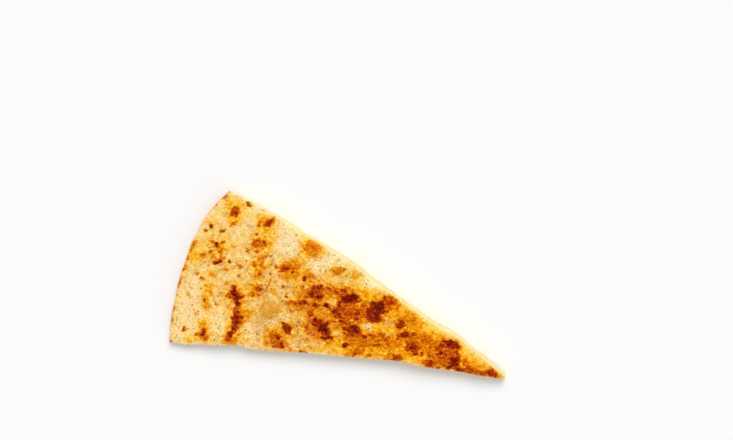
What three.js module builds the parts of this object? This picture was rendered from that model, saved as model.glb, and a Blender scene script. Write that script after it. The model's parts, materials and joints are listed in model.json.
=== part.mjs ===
// Quesadilla wedge: two toasted flour tortillas with a layer of melted cheese
// between them, cut from the round with a knife.
//
// Millimetres, +Z up. The rim (the part of the tortilla's own round edge) is
// at -X and the tip at +X. The wedge lies on its flat underside, with the
// origin under the middle of its bounding box.
//
// Every surface is written in wedge coordinates:
//   s    0 at the nose of the tip, 1 at the rim
//   t   -1 at the -Y cut, +1 at the +Y cut
//   rho  distance from the cut centre of the round, which lies just past the tip
//   phi  angle from the wedge's middle line, positive towards +Y

import * as THREE from 'three';

const DEG = Math.PI / 180;

// ---- plan of the wedge -------------------------------------------------------
const RIM_RADIUS = 152.4;        // a 12 inch (305 mm) tortilla
const HALF_ANGLE = 14.3 * DEG;   // each cut from the middle line
const NOSE_RADIUS = 0.55;        // how blunt the tip is
const CORNER_EASE = 3.1;         // the rim falls back this far at its +Y corner
const CORNER_EASE_SPAN = 10.3 * DEG;
const FAR_CORNER_EASE = 0.7;     // and this far at its -Y corner
const RIM_RIPPLE = 0.28;         // unevenness of the round edge

// The knife cuts aren't straight: both bow towards +Y, one more than the other.
const TIP_SHIFT = 1.3;           // the tip is turned this far towards +Y
const PLUS_CUT_BOW = [3.15, -0.95, 0.12];  // half waves along the +Y cut
const PLUS_CUT_RIM_SHIFT = -0.3;
const MINUS_CUT_BOW = [2.25, 0.34, -0.05]; // half waves along the -Y cut
const MINUS_CUT_RIM_SHIFT = 1.3;
const MINUS_CORNER_FLARE = 1.5;  // its rim corner stands out again

// Where the knife wandered and the dough spread: [place, width, outwards].
// Along a cut the place is s, along the rim it is phi in degrees.
const PLUS_CUT_SWELLS = [[0, 0.045, -0.75], [0.185, 0.060, 1.20], [0.555, 0.050, 0.85], [0.735, 0.045, -0.35]];
const MINUS_CUT_SWELLS = [
  [0, 0.035, 0.35], [0.09, 0.06, 0.40], [0.325, 0.055, -0.95], [0.70, 0.06, 0.45], [0.76, 0.03, 0.35],
  [0.805, 0.035, -0.80], [0.905, 0.05, 0.45], [0.945, 0.024, 0.95], [0.45, 0.60, 0.44], [0.80, 0.15, 0.50],
];
const RIM_SWELLS = [[-14.8, 3.0, 1.15], [-10.6, 1.5, 0.75], [-3.4, 1.7, 0.65], [-1.7, 1.0, 0.30], [-0.2, 1.4, -0.35], [5.0, 2.0, 0.42], [11.8, 1.3, -0.30]];

// ---- layers ------------------------------------------------------------------
const BOTTOM_THICKNESS = 1.9;
const TOP_THICKNESS = 2.0;
const CHEESE_THICKNESS = 3.1;
const LAYER_GAP = 0.3;           // clearance between neighbouring layers
const RIM_THICKNESS_SHARE = 0.72; // a tortilla is thinner at its own edge
const RIM_THIN_SPAN = 16;
const CHEESE_RIM_INSET = 7.5;    // the cheese stops this far inside the rim
const CHEESE_RIM_WANDER = 1.6;
const CHEESE_TAPER = 15;         // and thins out over this length
const SEAM_AT_RIM = 0.55;        // the tortillas nearly meet past the cheese
const TIP_CHEESE_SHARE = 0.68;   // pressed thinner towards the tip
const TIP_CHEESE_SPAN = 34;
const RIM_CHEESE_SHARE = 0.62;   // and spread thinner towards the rim
const RIM_CHEESE_FROM = 62, RIM_CHEESE_SPAN = 66;
const TIP_PINCH_CHEESE = 0.6;    // the knife's end pinched the very tip
const TIP_PINCH_DOUGH = 0.9;
const TIP_PINCH_SPAN = 12;

// ---- lift of the underside ---------------------------------------------------
const RIM_LIFT = 1.25;           // the rim curls up a little
const RIM_LIFT_SPAN = 24;
const TIP_LIFT = 0.6;
const TIP_LIFT_SPAN = 26;

// ---- edges -------------------------------------------------------------------
const RIM_BULGE = 0.75;          // rounded edge of the dough
const CUT_BULGE = 0.10;          // a knife cut is nearly flat
const CHEESE_BULGE = 0.30;       // the melt swells out of a cut
const CUT_SHOULDER = 0.45;       // the knife presses the top down at the cut
const CUT_SHOULDER_SPAN = 3.5;

// The knife dragged the top tortilla out over the layers below at the +Y cut.
const OVERHANG = 0.45, OVERHANG_AT_RIM = 0.80;

// ---- low blisters of the top: [rho, phi in degrees, radius, height] ----------
const BLISTERS = [
  [109.5, -5.2, 6.5, 0.55],
  [93.0, -3.0, 9.5, 0.40],
  [72.0, 1.5, 10.0, 0.45],
  [120.0, 9.0, 9.0, 0.35],
  [60.5, 3.0, 7.5, 0.35],
  [133.0, -9.5, 8.0, 0.30],
  [32.0, -1.0, 7.0, 0.30],
];

// ---- mesh density ------------------------------------------------------------
const ROWS = 32;                 // tip to rim
const COLUMNS = 16;              // cut to cut
const EDGE_LEVELS = [0.14, 0.5, 0.86];

// ---- helpers -----------------------------------------------------------------
const clamp = (v) => Math.min(1, Math.max(0, v));
const smooth = (v) => { const c = clamp(v); return c * c * (3 - 2 * c); };
const mix = (a, b, k) => a + (b - a) * k;
const swells = (place, list) => list.reduce((sum, [at, width, out]) => sum + out * Math.exp(-(((place - at) / width) ** 2)), 0);

// distance from the cut centre to the nose: a circle that touches both cuts
function noseRadiusAt(phi) {
  const centre = NOSE_RADIUS / Math.sin(HALF_ANGLE);
  const across = centre * Math.sin(phi);
  return centre * Math.cos(phi) - Math.sqrt(Math.max(0, NOSE_RADIUS ** 2 - across ** 2));
}

function rimRadiusAt(phi) {
  const ease = CORNER_EASE * clamp((phi - (HALF_ANGLE - CORNER_EASE_SPAN)) / CORNER_EASE_SPAN) ** 2;
  const farEase = FAR_CORNER_EASE * clamp(-phi / HALF_ANGLE) ** 2;
  const ripple = RIM_RIPPLE * (Math.sin(phi * 41 + 0.9) + 0.6 * Math.sin(phi * 87 + 2.2));
  return RIM_RADIUS - ease - farEase + ripple + swells(phi / DEG, RIM_SWELLS);
}

const halfWaves = (s, list) => list.reduce((sum, a, k) => sum + a * Math.sin((k + 1) * Math.PI * s), 0);

// how far the top stands out over the +Y cut
const overhangAt = (s) => mix(OVERHANG, OVERHANG_AT_RIM, smooth((s - 0.5) / 0.3));

function bowAt(s, t) {
  const plus = TIP_SHIFT * (1 - s) + PLUS_CUT_RIM_SHIFT * s + halfWaves(s, PLUS_CUT_BOW) + swells(s, PLUS_CUT_SWELLS);
  const minus = TIP_SHIFT * (1 - s) + MINUS_CUT_RIM_SHIFT * s + halfWaves(s, MINUS_CUT_BOW)
    - MINUS_CORNER_FLARE * smooth((s - 0.9) / 0.1) - swells(s, MINUS_CUT_SWELLS);
  return mix(minus, plus, (1 + t) / 2);
}

// thickness of one tortilla as a share of its middle
const thicknessShare = (rho, phi) =>
  mix(1, RIM_THICKNESS_SHARE, smooth((rho - (RIM_RADIUS - RIM_THIN_SPAN)) / RIM_THIN_SPAN))
  * mix(TIP_PINCH_DOUGH, 1, smooth(rho / TIP_PINCH_SPAN))
  * (1 + 0.035 * Math.sin(rho / 11 + phi * 9) + 0.025 * Math.sin(rho / 6.3 - phi * 21 + 1.3));

// underside of the whole wedge: flat except at the rim and the tip
function liftAt(rho, phi) {
  const rim = RIM_LIFT * smooth((rho - (RIM_RADIUS - RIM_LIFT_SPAN)) / RIM_LIFT_SPAN) ** 1.4
    * (0.9 + 0.35 * Math.sin(phi * 11 + 0.6));
  const tip = TIP_LIFT * smooth((TIP_LIFT_SPAN - rho) / TIP_LIFT_SPAN) ** 1.4;
  return rim + tip;
}

const cheeseEdgeAt = (phi) => rimRadiusAt(phi) - CHEESE_RIM_INSET
  - CHEESE_RIM_WANDER * (0.6 * Math.sin(phi * 26 + 0.4) + 0.4 * Math.sin(phi * 57 + 1.9));

// height of the cheese, uneven as the shreds melted
function cheeseAt(rho, phi) {
  const a = rho * Math.cos(phi), b = rho * Math.sin(phi);
  const uneven = 1
    + 0.085 * Math.sin(a / 17 + 0.8) * Math.cos(b / 12 + 0.5)
    + 0.055 * Math.sin(a / 8.5 - b / 9 + 2.0)
    + 0.035 * Math.sin(a / 5.2 + b / 6.1 + 0.7);
  const taper = smooth((cheeseEdgeAt(phi) + 3 - rho) / (CHEESE_TAPER + 3)) ** 0.7;
  const tip = mix(TIP_CHEESE_SHARE, 1, smooth(rho / TIP_CHEESE_SPAN)) * mix(TIP_PINCH_CHEESE, 1, smooth(rho / TIP_PINCH_SPAN));
  const outer = mix(1, RIM_CHEESE_SHARE, smooth((rho - RIM_CHEESE_FROM) / RIM_CHEESE_SPAN));
  return Math.max(SEAM_AT_RIM, CHEESE_THICKNESS * uneven * taper * tip * outer);
}

function blistersAt(rho, phi) {
  const a = rho * Math.cos(phi), b = rho * Math.sin(phi);
  let z = 0;
  for (const [r0, deg, radius, height] of BLISTERS) {
    const d = Math.hypot(a - r0 * Math.cos(deg * DEG), b - r0 * Math.sin(deg * DEG)) / radius;
    z += height * Math.exp(-1.6 * d * d);
  }
  return z;
}

// the top sinks towards each cut, where the knife went through
function shoulderAt(rho, t) {
  const inside = (1 - Math.abs(t)) * rho * HALF_ANGLE;
  return CUT_SHOULDER * (1 - clamp(inside / CUT_SHOULDER_SPAN)) ** 2;
}

// the stacked levels of the layers, all measured on the same plan point
function levels(rho, phi, t) {
  const share = thicknessShare(rho, phi);
  const shoulder = shoulderAt(rho, t);
  const underside = liftAt(rho, phi);
  const bottomTop = underside + BOTTOM_THICKNESS * share;
  const cheeseBottom = bottomTop + LAYER_GAP;
  const cheeseTop = cheeseBottom + cheeseAt(rho, phi) - 0.6 * shoulder;
  const topUnder = cheeseTop + LAYER_GAP;
  const topTop = topUnder + TOP_THICKNESS * share + blistersAt(rho, phi) * (1 - clamp(shoulder)) - 0.4 * shoulder;
  return { underside, bottomTop, cheeseBottom, cheeseTop, topUnder, topTop };
}

// ---- one layer as a closed mesh ----------------------------------------------
// rimAt(phi)      where the layer ends towards the rim
// sideShift(s, side) how far the layer stands out of the cut on that side
// low, high       names of the two levels it lies between
// bulges          outward swelling of the edge at the rim and at the cuts
function layer({ rimAt, sideShift, low, high, rimBulge, cutBulge }) {
  const vertices = [];
  const triangles = [];
  const top = [], bottom = [];
  for (let i = 0; i <= ROWS; i++) {
    const u = i / ROWS;
    const g = 1 - (1 - u) ** 1.35;
    top.push([]);
    bottom.push([]);
    for (let j = 0; j <= COLUMNS; j++) {
      const tau = 2 * j / COLUMNS - 1;
      const t = 0.6 * tau + 0.4 * Math.sin(tau * Math.PI / 2);
      const phi = t * HALF_ANGLE;
      const rho = mix(noseRadiusAt(phi), rimAt(phi) - rimBulge, g);
      const s = clamp(rho / RIM_RADIUS);
      const side = Math.sign(t) * sideShift(s, Math.sign(t)) * Math.abs(t) ** 8 * smooth(rho / 12);
      const x = -rho * Math.cos(phi);
      const y = rho * Math.sin(phi) + bowAt(s, t) + side;
      const z = levels(rho, phi, t);
      top[i].push(vertices.length / 3);
      vertices.push(x, y, z[high]);
      bottom[i].push(vertices.length / 3);
      vertices.push(x, y, z[low]);
    }
  }
  for (let i = 0; i < ROWS; i++) {
    for (let j = 0; j < COLUMNS; j++) {
      const [a, b, c, d] = [top[i][j], top[i][j + 1], top[i + 1][j + 1], top[i + 1][j]];
      triangles.push(a, b, c, a, c, d);
      const [e, f, g, h] = [bottom[i][j], bottom[i][j + 1], bottom[i + 1][j + 1], bottom[i + 1][j]];
      triangles.push(e, g, f, e, h, g);
    }
  }

  // the edge, round from the nose along the +Y cut, the rim and the -Y cut
  const ring = [];
  for (let j = 0; j < COLUMNS; j++) ring.push([0, j, 0]);
  for (let i = 0; i < ROWS; i++) ring.push([i, COLUMNS, 0]);
  for (let j = COLUMNS; j > 0; j--) ring.push([ROWS, j, j === COLUMNS ? 0.5 : 1]);
  for (let i = ROWS; i > 0; i--) ring.push([i, 0, i === ROWS ? 0.5 : 0]);
  const count = ring.length;
  const point = (id) => [vertices[3 * id], vertices[3 * id + 1], vertices[3 * id + 2]];
  const loops = [ring.map(([i, j]) => top[i][j])];
  for (const f of EDGE_LEVELS) {
    const out = Math.sqrt(1 - (2 * f - 1) ** 2);
    const loop = [];
    for (let m = 0; m < count; m++) {
      const [i, j, rimShare] = ring[m];
      const before = point(loops[0][(m + count - 1) % count]);
      const after = point(loops[0][(m + 1) % count]);
      const hx = after[0] - before[0], hy = after[1] - before[1];
      const length = Math.hypot(hx, hy);
      const [x, y, zHigh] = point(top[i][j]);
      const zLow = vertices[3 * bottom[i][j] + 2];
      const bulge = out * mix(cutBulge, rimBulge, rimShare);
      loop.push(vertices.length / 3);
      vertices.push(x + bulge * hy / length, y - bulge * hx / length, mix(zHigh, zLow, f));
    }
    loops.push(loop);
  }
  loops.push(ring.map(([i, j]) => bottom[i][j]));
  for (let k = 0; k + 1 < loops.length; k++) {
    for (let m = 0; m < count; m++) {
      const n = (m + 1) % count;
      const [a, b, c, d] = [loops[k][m], loops[k + 1][m], loops[k + 1][n], loops[k][n]];
      triangles.push(a, b, c, a, c, d);
    }
  }
  const geometry = new THREE.BufferGeometry();
  geometry.setAttribute('position', new THREE.Float32BufferAttribute(vertices, 3));
  geometry.setIndex(triangles);
  geometry.computeVertexNormals();
  return geometry;
}

// ---- the three layers --------------------------------------------------------
const toasted = new THREE.MeshStandardMaterial({ color: 0xe9b765, roughness: 0.78, metalness: 0 });
const underside = new THREE.MeshStandardMaterial({ color: 0xe3aa58, roughness: 0.8, metalness: 0 });
const melted = new THREE.MeshStandardMaterial({ color: 0xf8dc96, roughness: 0.4, metalness: 0 });

const wedge = new THREE.Group();

function add(name, material, shape) {
  const mesh = new THREE.Mesh(layer(shape), material);
  mesh.name = name;
  wedge.add(mesh);
}

add('tortilla_bottom', underside, {
  rimAt: (phi) => rimRadiusAt(phi) - 0.7 + 0.5 * Math.sin(phi * 19 + 2.6),
  sideShift: (s, side) => 0.12 * Math.sin(s * 31 + side),
  low: 'underside', high: 'bottomTop', rimBulge: RIM_BULGE, cutBulge: CUT_BULGE,
});
add('cheese_filling', melted, {
  rimAt: cheeseEdgeAt,
  sideShift: (s, side) => -0.15 + 0.28 * Math.sin(s * 23 + 1.7 * side) + 0.2 * Math.sin(s * 51 - side)
    + (side > 0 ? 0.4 * overhangAt(s) : 0),
  low: 'cheeseBottom', high: 'cheeseTop', rimBulge: 0.2, cutBulge: CHEESE_BULGE,
});
add('tortilla_top', toasted, {
  rimAt: rimRadiusAt,
  sideShift: (s, side) => 0.12 * Math.sin(s * 27 + 2 + side) + (side > 0 ? overhangAt(s) : 0),
  low: 'topUnder', high: 'topTop', rimBulge: RIM_BULGE, cutBulge: CUT_BULGE,
});

// ---- stand the wedge on the origin -------------------------------------------
const box = new THREE.Box3();
for (const mesh of wedge.children) {
  mesh.geometry.computeBoundingBox();
  box.union(mesh.geometry.boundingBox);
}
wedge.position.set(-(box.min.x + box.max.x) / 2, -(box.min.y + box.max.y) / 2, -box.min.z);

export default wedge;
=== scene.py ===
"""Looks of the quesadilla wedge.

Three pieces stand for the three packed layers: the toasted top tortilla, the
melted cheese and the toasted bottom tortilla. Their shapes repeat the plan and
the levels of the layers, with a much finer surface. Lengths here are in
millimetres, and the meshes are written in metres.
"""
import json
import math

import bpy
import numpy as np
from mathutils import Matrix, Vector
from mathutils.geometry import delaunay_2d_cdt

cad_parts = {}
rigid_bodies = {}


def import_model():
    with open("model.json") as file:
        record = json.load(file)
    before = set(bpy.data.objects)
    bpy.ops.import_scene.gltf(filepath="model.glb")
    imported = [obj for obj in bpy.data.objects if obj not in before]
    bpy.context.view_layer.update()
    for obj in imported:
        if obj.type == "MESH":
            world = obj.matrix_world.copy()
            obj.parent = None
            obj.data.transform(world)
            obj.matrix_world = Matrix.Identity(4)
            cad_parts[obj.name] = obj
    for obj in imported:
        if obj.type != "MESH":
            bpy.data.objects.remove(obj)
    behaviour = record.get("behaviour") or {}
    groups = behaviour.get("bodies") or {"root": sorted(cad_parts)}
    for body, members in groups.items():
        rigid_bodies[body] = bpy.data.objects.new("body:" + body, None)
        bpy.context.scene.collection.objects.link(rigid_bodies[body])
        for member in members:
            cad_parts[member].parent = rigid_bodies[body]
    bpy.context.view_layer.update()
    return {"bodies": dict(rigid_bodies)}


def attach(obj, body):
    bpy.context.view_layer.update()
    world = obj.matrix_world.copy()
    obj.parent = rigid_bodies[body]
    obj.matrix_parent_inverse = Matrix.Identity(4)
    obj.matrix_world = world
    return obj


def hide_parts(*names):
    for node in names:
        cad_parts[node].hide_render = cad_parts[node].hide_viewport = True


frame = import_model()
BODY = next(iter(frame["bodies"]))

MM = 0.001
DEG = math.pi / 180

# ------------------------------------------------------------------------------
# The wedge's own measures, as in the layers
# ------------------------------------------------------------------------------
RIM_RADIUS = 152.4
HALF_ANGLE = 14.3 * DEG
NOSE_RADIUS = 0.55
CENTRE = (76.95299035310745, 0.2605552673339844)  # cut centre of the round

BOTTOM_THICKNESS = 1.9
TOP_THICKNESS = 2.0
CHEESE_THICKNESS = 3.1
LAYER_GAP = 0.3
RIM_BULGE = 0.75


def clamp(v):
    return np.clip(v, 0.0, 1.0)


def smooth(v):
    c = clamp(v)
    return c * c * (3 - 2 * c)


def mix(a, b, k):
    return a + (b - a) * k


def swells(place, rows):
    return sum(out * np.exp(-(((place - at) / width) ** 2)) for at, width, out in rows)


def half_waves(s, rows):
    return sum(a * np.sin((k + 1) * np.pi * s) for k, a in enumerate(rows))


def nose_radius(phi):
    centre = NOSE_RADIUS / math.sin(HALF_ANGLE)
    across = centre * np.sin(phi)
    return centre * np.cos(phi) - np.sqrt(np.maximum(0, NOSE_RADIUS ** 2 - across ** 2))


def rim_radius(phi):
    ease = 3.1 * clamp((phi - 4.0 * DEG) / (10.3 * DEG)) ** 2
    far = 0.7 * clamp(-phi / HALF_ANGLE) ** 2
    ripple = 0.28 * (np.sin(phi * 41 + 0.9) + 0.6 * np.sin(phi * 87 + 2.2))
    lumps = swells(phi / DEG, [(-14.8, 3.0, 1.15), (-10.6, 1.5, 0.75), (-3.4, 1.7, 0.65), (-1.7, 1.0, 0.30), (-0.2, 1.4, -0.35),
                                   (5.0, 2.0, 0.42), (11.8, 1.3, -0.30)])
    return RIM_RADIUS - ease - far + ripple + lumps


def bow(s, t):
    plus = 1.3 * (1 - s) - 0.3 * s + half_waves(s, [3.15, -0.95, 0.12]) + swells(
        s, [(0, 0.045, -0.75), (0.185, 0.060, 1.20), (0.555, 0.050, 0.85), (0.735, 0.045, -0.35)])
    minus = (1.3 * (1 - s) + 1.3 * s + half_waves(s, [2.25, 0.34, -0.05]) - 1.5 * smooth((s - 0.9) / 0.1)
             - swells(s, [(0, 0.035, 0.35), (0.09, 0.06, 0.40), (0.325, 0.055, -0.95), (0.70, 0.06, 0.45), (0.76, 0.03, 0.35),
                         (0.805, 0.035, -0.80), (0.905, 0.05, 0.45), (0.945, 0.024, 0.95), (0.45, 0.60, 0.44),
                         (0.80, 0.15, 0.50)]))
    return mix(minus, plus, (1 + t) / 2)


def thickness_share(rho, phi):
    return (mix(1, 0.72, smooth((rho - (RIM_RADIUS - 16)) / 16)) * mix(0.9, 1, smooth(rho / 12))
            * (1 + 0.035 * np.sin(rho / 11 + phi * 9) + 0.025 * np.sin(rho / 6.3 - phi * 21 + 1.3)))


def lift(rho, phi):
    rim = 1.25 * smooth((rho - (RIM_RADIUS - 24)) / 24) ** 1.4 * (0.9 + 0.35 * np.sin(phi * 11 + 0.6))
    return rim + 0.6 * smooth((26 - rho) / 26) ** 1.4


def cheese_edge(phi):
    return rim_radius(phi) - 7.5 - 1.6 * (0.6 * np.sin(phi * 26 + 0.4) + 0.4 * np.sin(phi * 57 + 1.9))


def cheese_height(rho, phi):
    a, b = rho * np.cos(phi), rho * np.sin(phi)
    uneven = (1 + 0.085 * np.sin(a / 17 + 0.8) * np.cos(b / 12 + 0.5)
              + 0.055 * np.sin(a / 8.5 - b / 9 + 2.0) + 0.035 * np.sin(a / 5.2 + b / 6.1 + 0.7))
    taper = smooth((cheese_edge(phi) + 3 - rho) / 18) ** 0.7
    spread = mix(0.68, 1, smooth(rho / 34)) * mix(0.6, 1, smooth(rho / 12)) * mix(1, 0.62, smooth((rho - 62) / 66))
    return np.maximum(0.55, CHEESE_THICKNESS * uneven * taper * spread)


def overhang(s):
    return mix(0.45, 0.80, smooth((s - 0.5) / 0.3))


BLISTERS = [(109.5, -5.2, 6.5, 0.55), (93.0, -3.0, 9.5, 0.40), (72.0, 1.5, 10.0, 0.45), (120.0, 9.0, 9.0, 0.35),
            (60.5, 3.0, 7.5, 0.35), (133.0, -9.5, 8.0, 0.30), (32.0, -1.0, 7.0, 0.30)]


def blisters(rho, phi):
    a, b = rho * np.cos(phi), rho * np.sin(phi)
    z = 0.0
    for r0, deg, radius, height in BLISTERS:
        d = np.hypot(a - r0 * math.cos(deg * DEG), b - r0 * math.sin(deg * DEG)) / radius
        z = z + height * np.exp(-1.6 * d * d)
    return z


def shoulder(rho, t):
    inside = (1 - np.abs(t)) * rho * HALF_ANGLE
    return 0.45 * (1 - clamp(inside / 3.5)) ** 2


def levels(rho, phi, t):
    share, press = thickness_share(rho, phi), shoulder(rho, t)
    underside = lift(rho, phi)
    bottom_top = underside + BOTTOM_THICKNESS * share
    cheese_bottom = bottom_top + LAYER_GAP
    cheese_top = cheese_bottom + cheese_height(rho, phi) - 0.6 * press
    top_under = cheese_top + LAYER_GAP
    top_top = top_under + TOP_THICKNESS * share + blisters(rho, phi) * (1 - clamp(press)) - 0.4 * press
    return {"underside": underside, "bottom_top": bottom_top, "cheese_bottom": cheese_bottom,
            "cheese_top": cheese_top, "top_under": top_under, "top_top": top_top}


# ------------------------------------------------------------------------------
# Seeded noise, from about -1 to 1
# ------------------------------------------------------------------------------
_tables = {}


def _table(seed):
    if seed not in _tables:
        rng = np.random.default_rng(seed)
        turn = rng.uniform(0, 2 * np.pi, 256)
        _tables[seed] = (rng.permutation(256), np.cos(turn), np.sin(turn))
    return _tables[seed]


def noise(x, y, size, seed):
    """Gradient noise with lumps about size across."""
    perm, gx, gy = _table(seed)
    x, y = np.asarray(x) / size + 31.7, np.asarray(y) / size + 57.3
    xi, yi = np.floor(x).astype(int), np.floor(y).astype(int)
    fx, fy = x - xi, y - yi
    sx, sy = fx * fx * fx * (fx * (fx * 6 - 15) + 10), fy * fy * fy * (fy * (fy * 6 - 15) + 10)

    def corner(i, j):
        h = perm[(perm[(xi + i) & 255] + yi + j) & 255]
        return gx[h] * (fx - i) + gy[h] * (fy - j)

    low = mix(corner(0, 0), corner(1, 0), sx)
    high = mix(corner(0, 1), corner(1, 1), sx)
    return mix(low, high, sy) * 1.6


def fbm(x, y, size, seed, octaves=3, gain=0.5):
    total, amount, norm = 0.0, 1.0, 0.0
    for k in range(octaves):
        total = total + amount * noise(x, y, size / 2 ** k, seed + 17 * k)
        norm += amount
        amount *= gain
    return total / norm


def cells(x, y, size, seed, share=1.0, radius=(0.2, 0.5)):
    """Round spots scattered one to a cell: 1 in the middle of a spot, 0 outside it."""
    perm, gx, gy = _table(seed)
    x, y = np.asarray(x) / size + 31.0, np.asarray(y) / size + 57.0
    xi, yi = np.floor(x).astype(int), np.floor(y).astype(int)
    best = np.zeros_like(x)
    for i in (-1, 0, 1):
        for j in (-1, 0, 1):
            h = perm[(perm[(xi + i) & 255] + yi + j) & 255]
            h2 = perm[(h + 91) & 255]
            h3 = perm[(h + 173) & 255]
            cx, cy = xi + i + 0.15 + 0.7 * h / 255, yi + j + 0.15 + 0.7 * h2 / 255
            r = radius[0] + (radius[1] - radius[0]) * (h3 / 255) ** 2
            d = np.hypot(x - cx, y - cy) * size / r
            best = np.maximum(best, np.where(gx[h2] * 0.5 + 0.5 < share, smooth(1.25 - d), 0.0))
    return best


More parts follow.
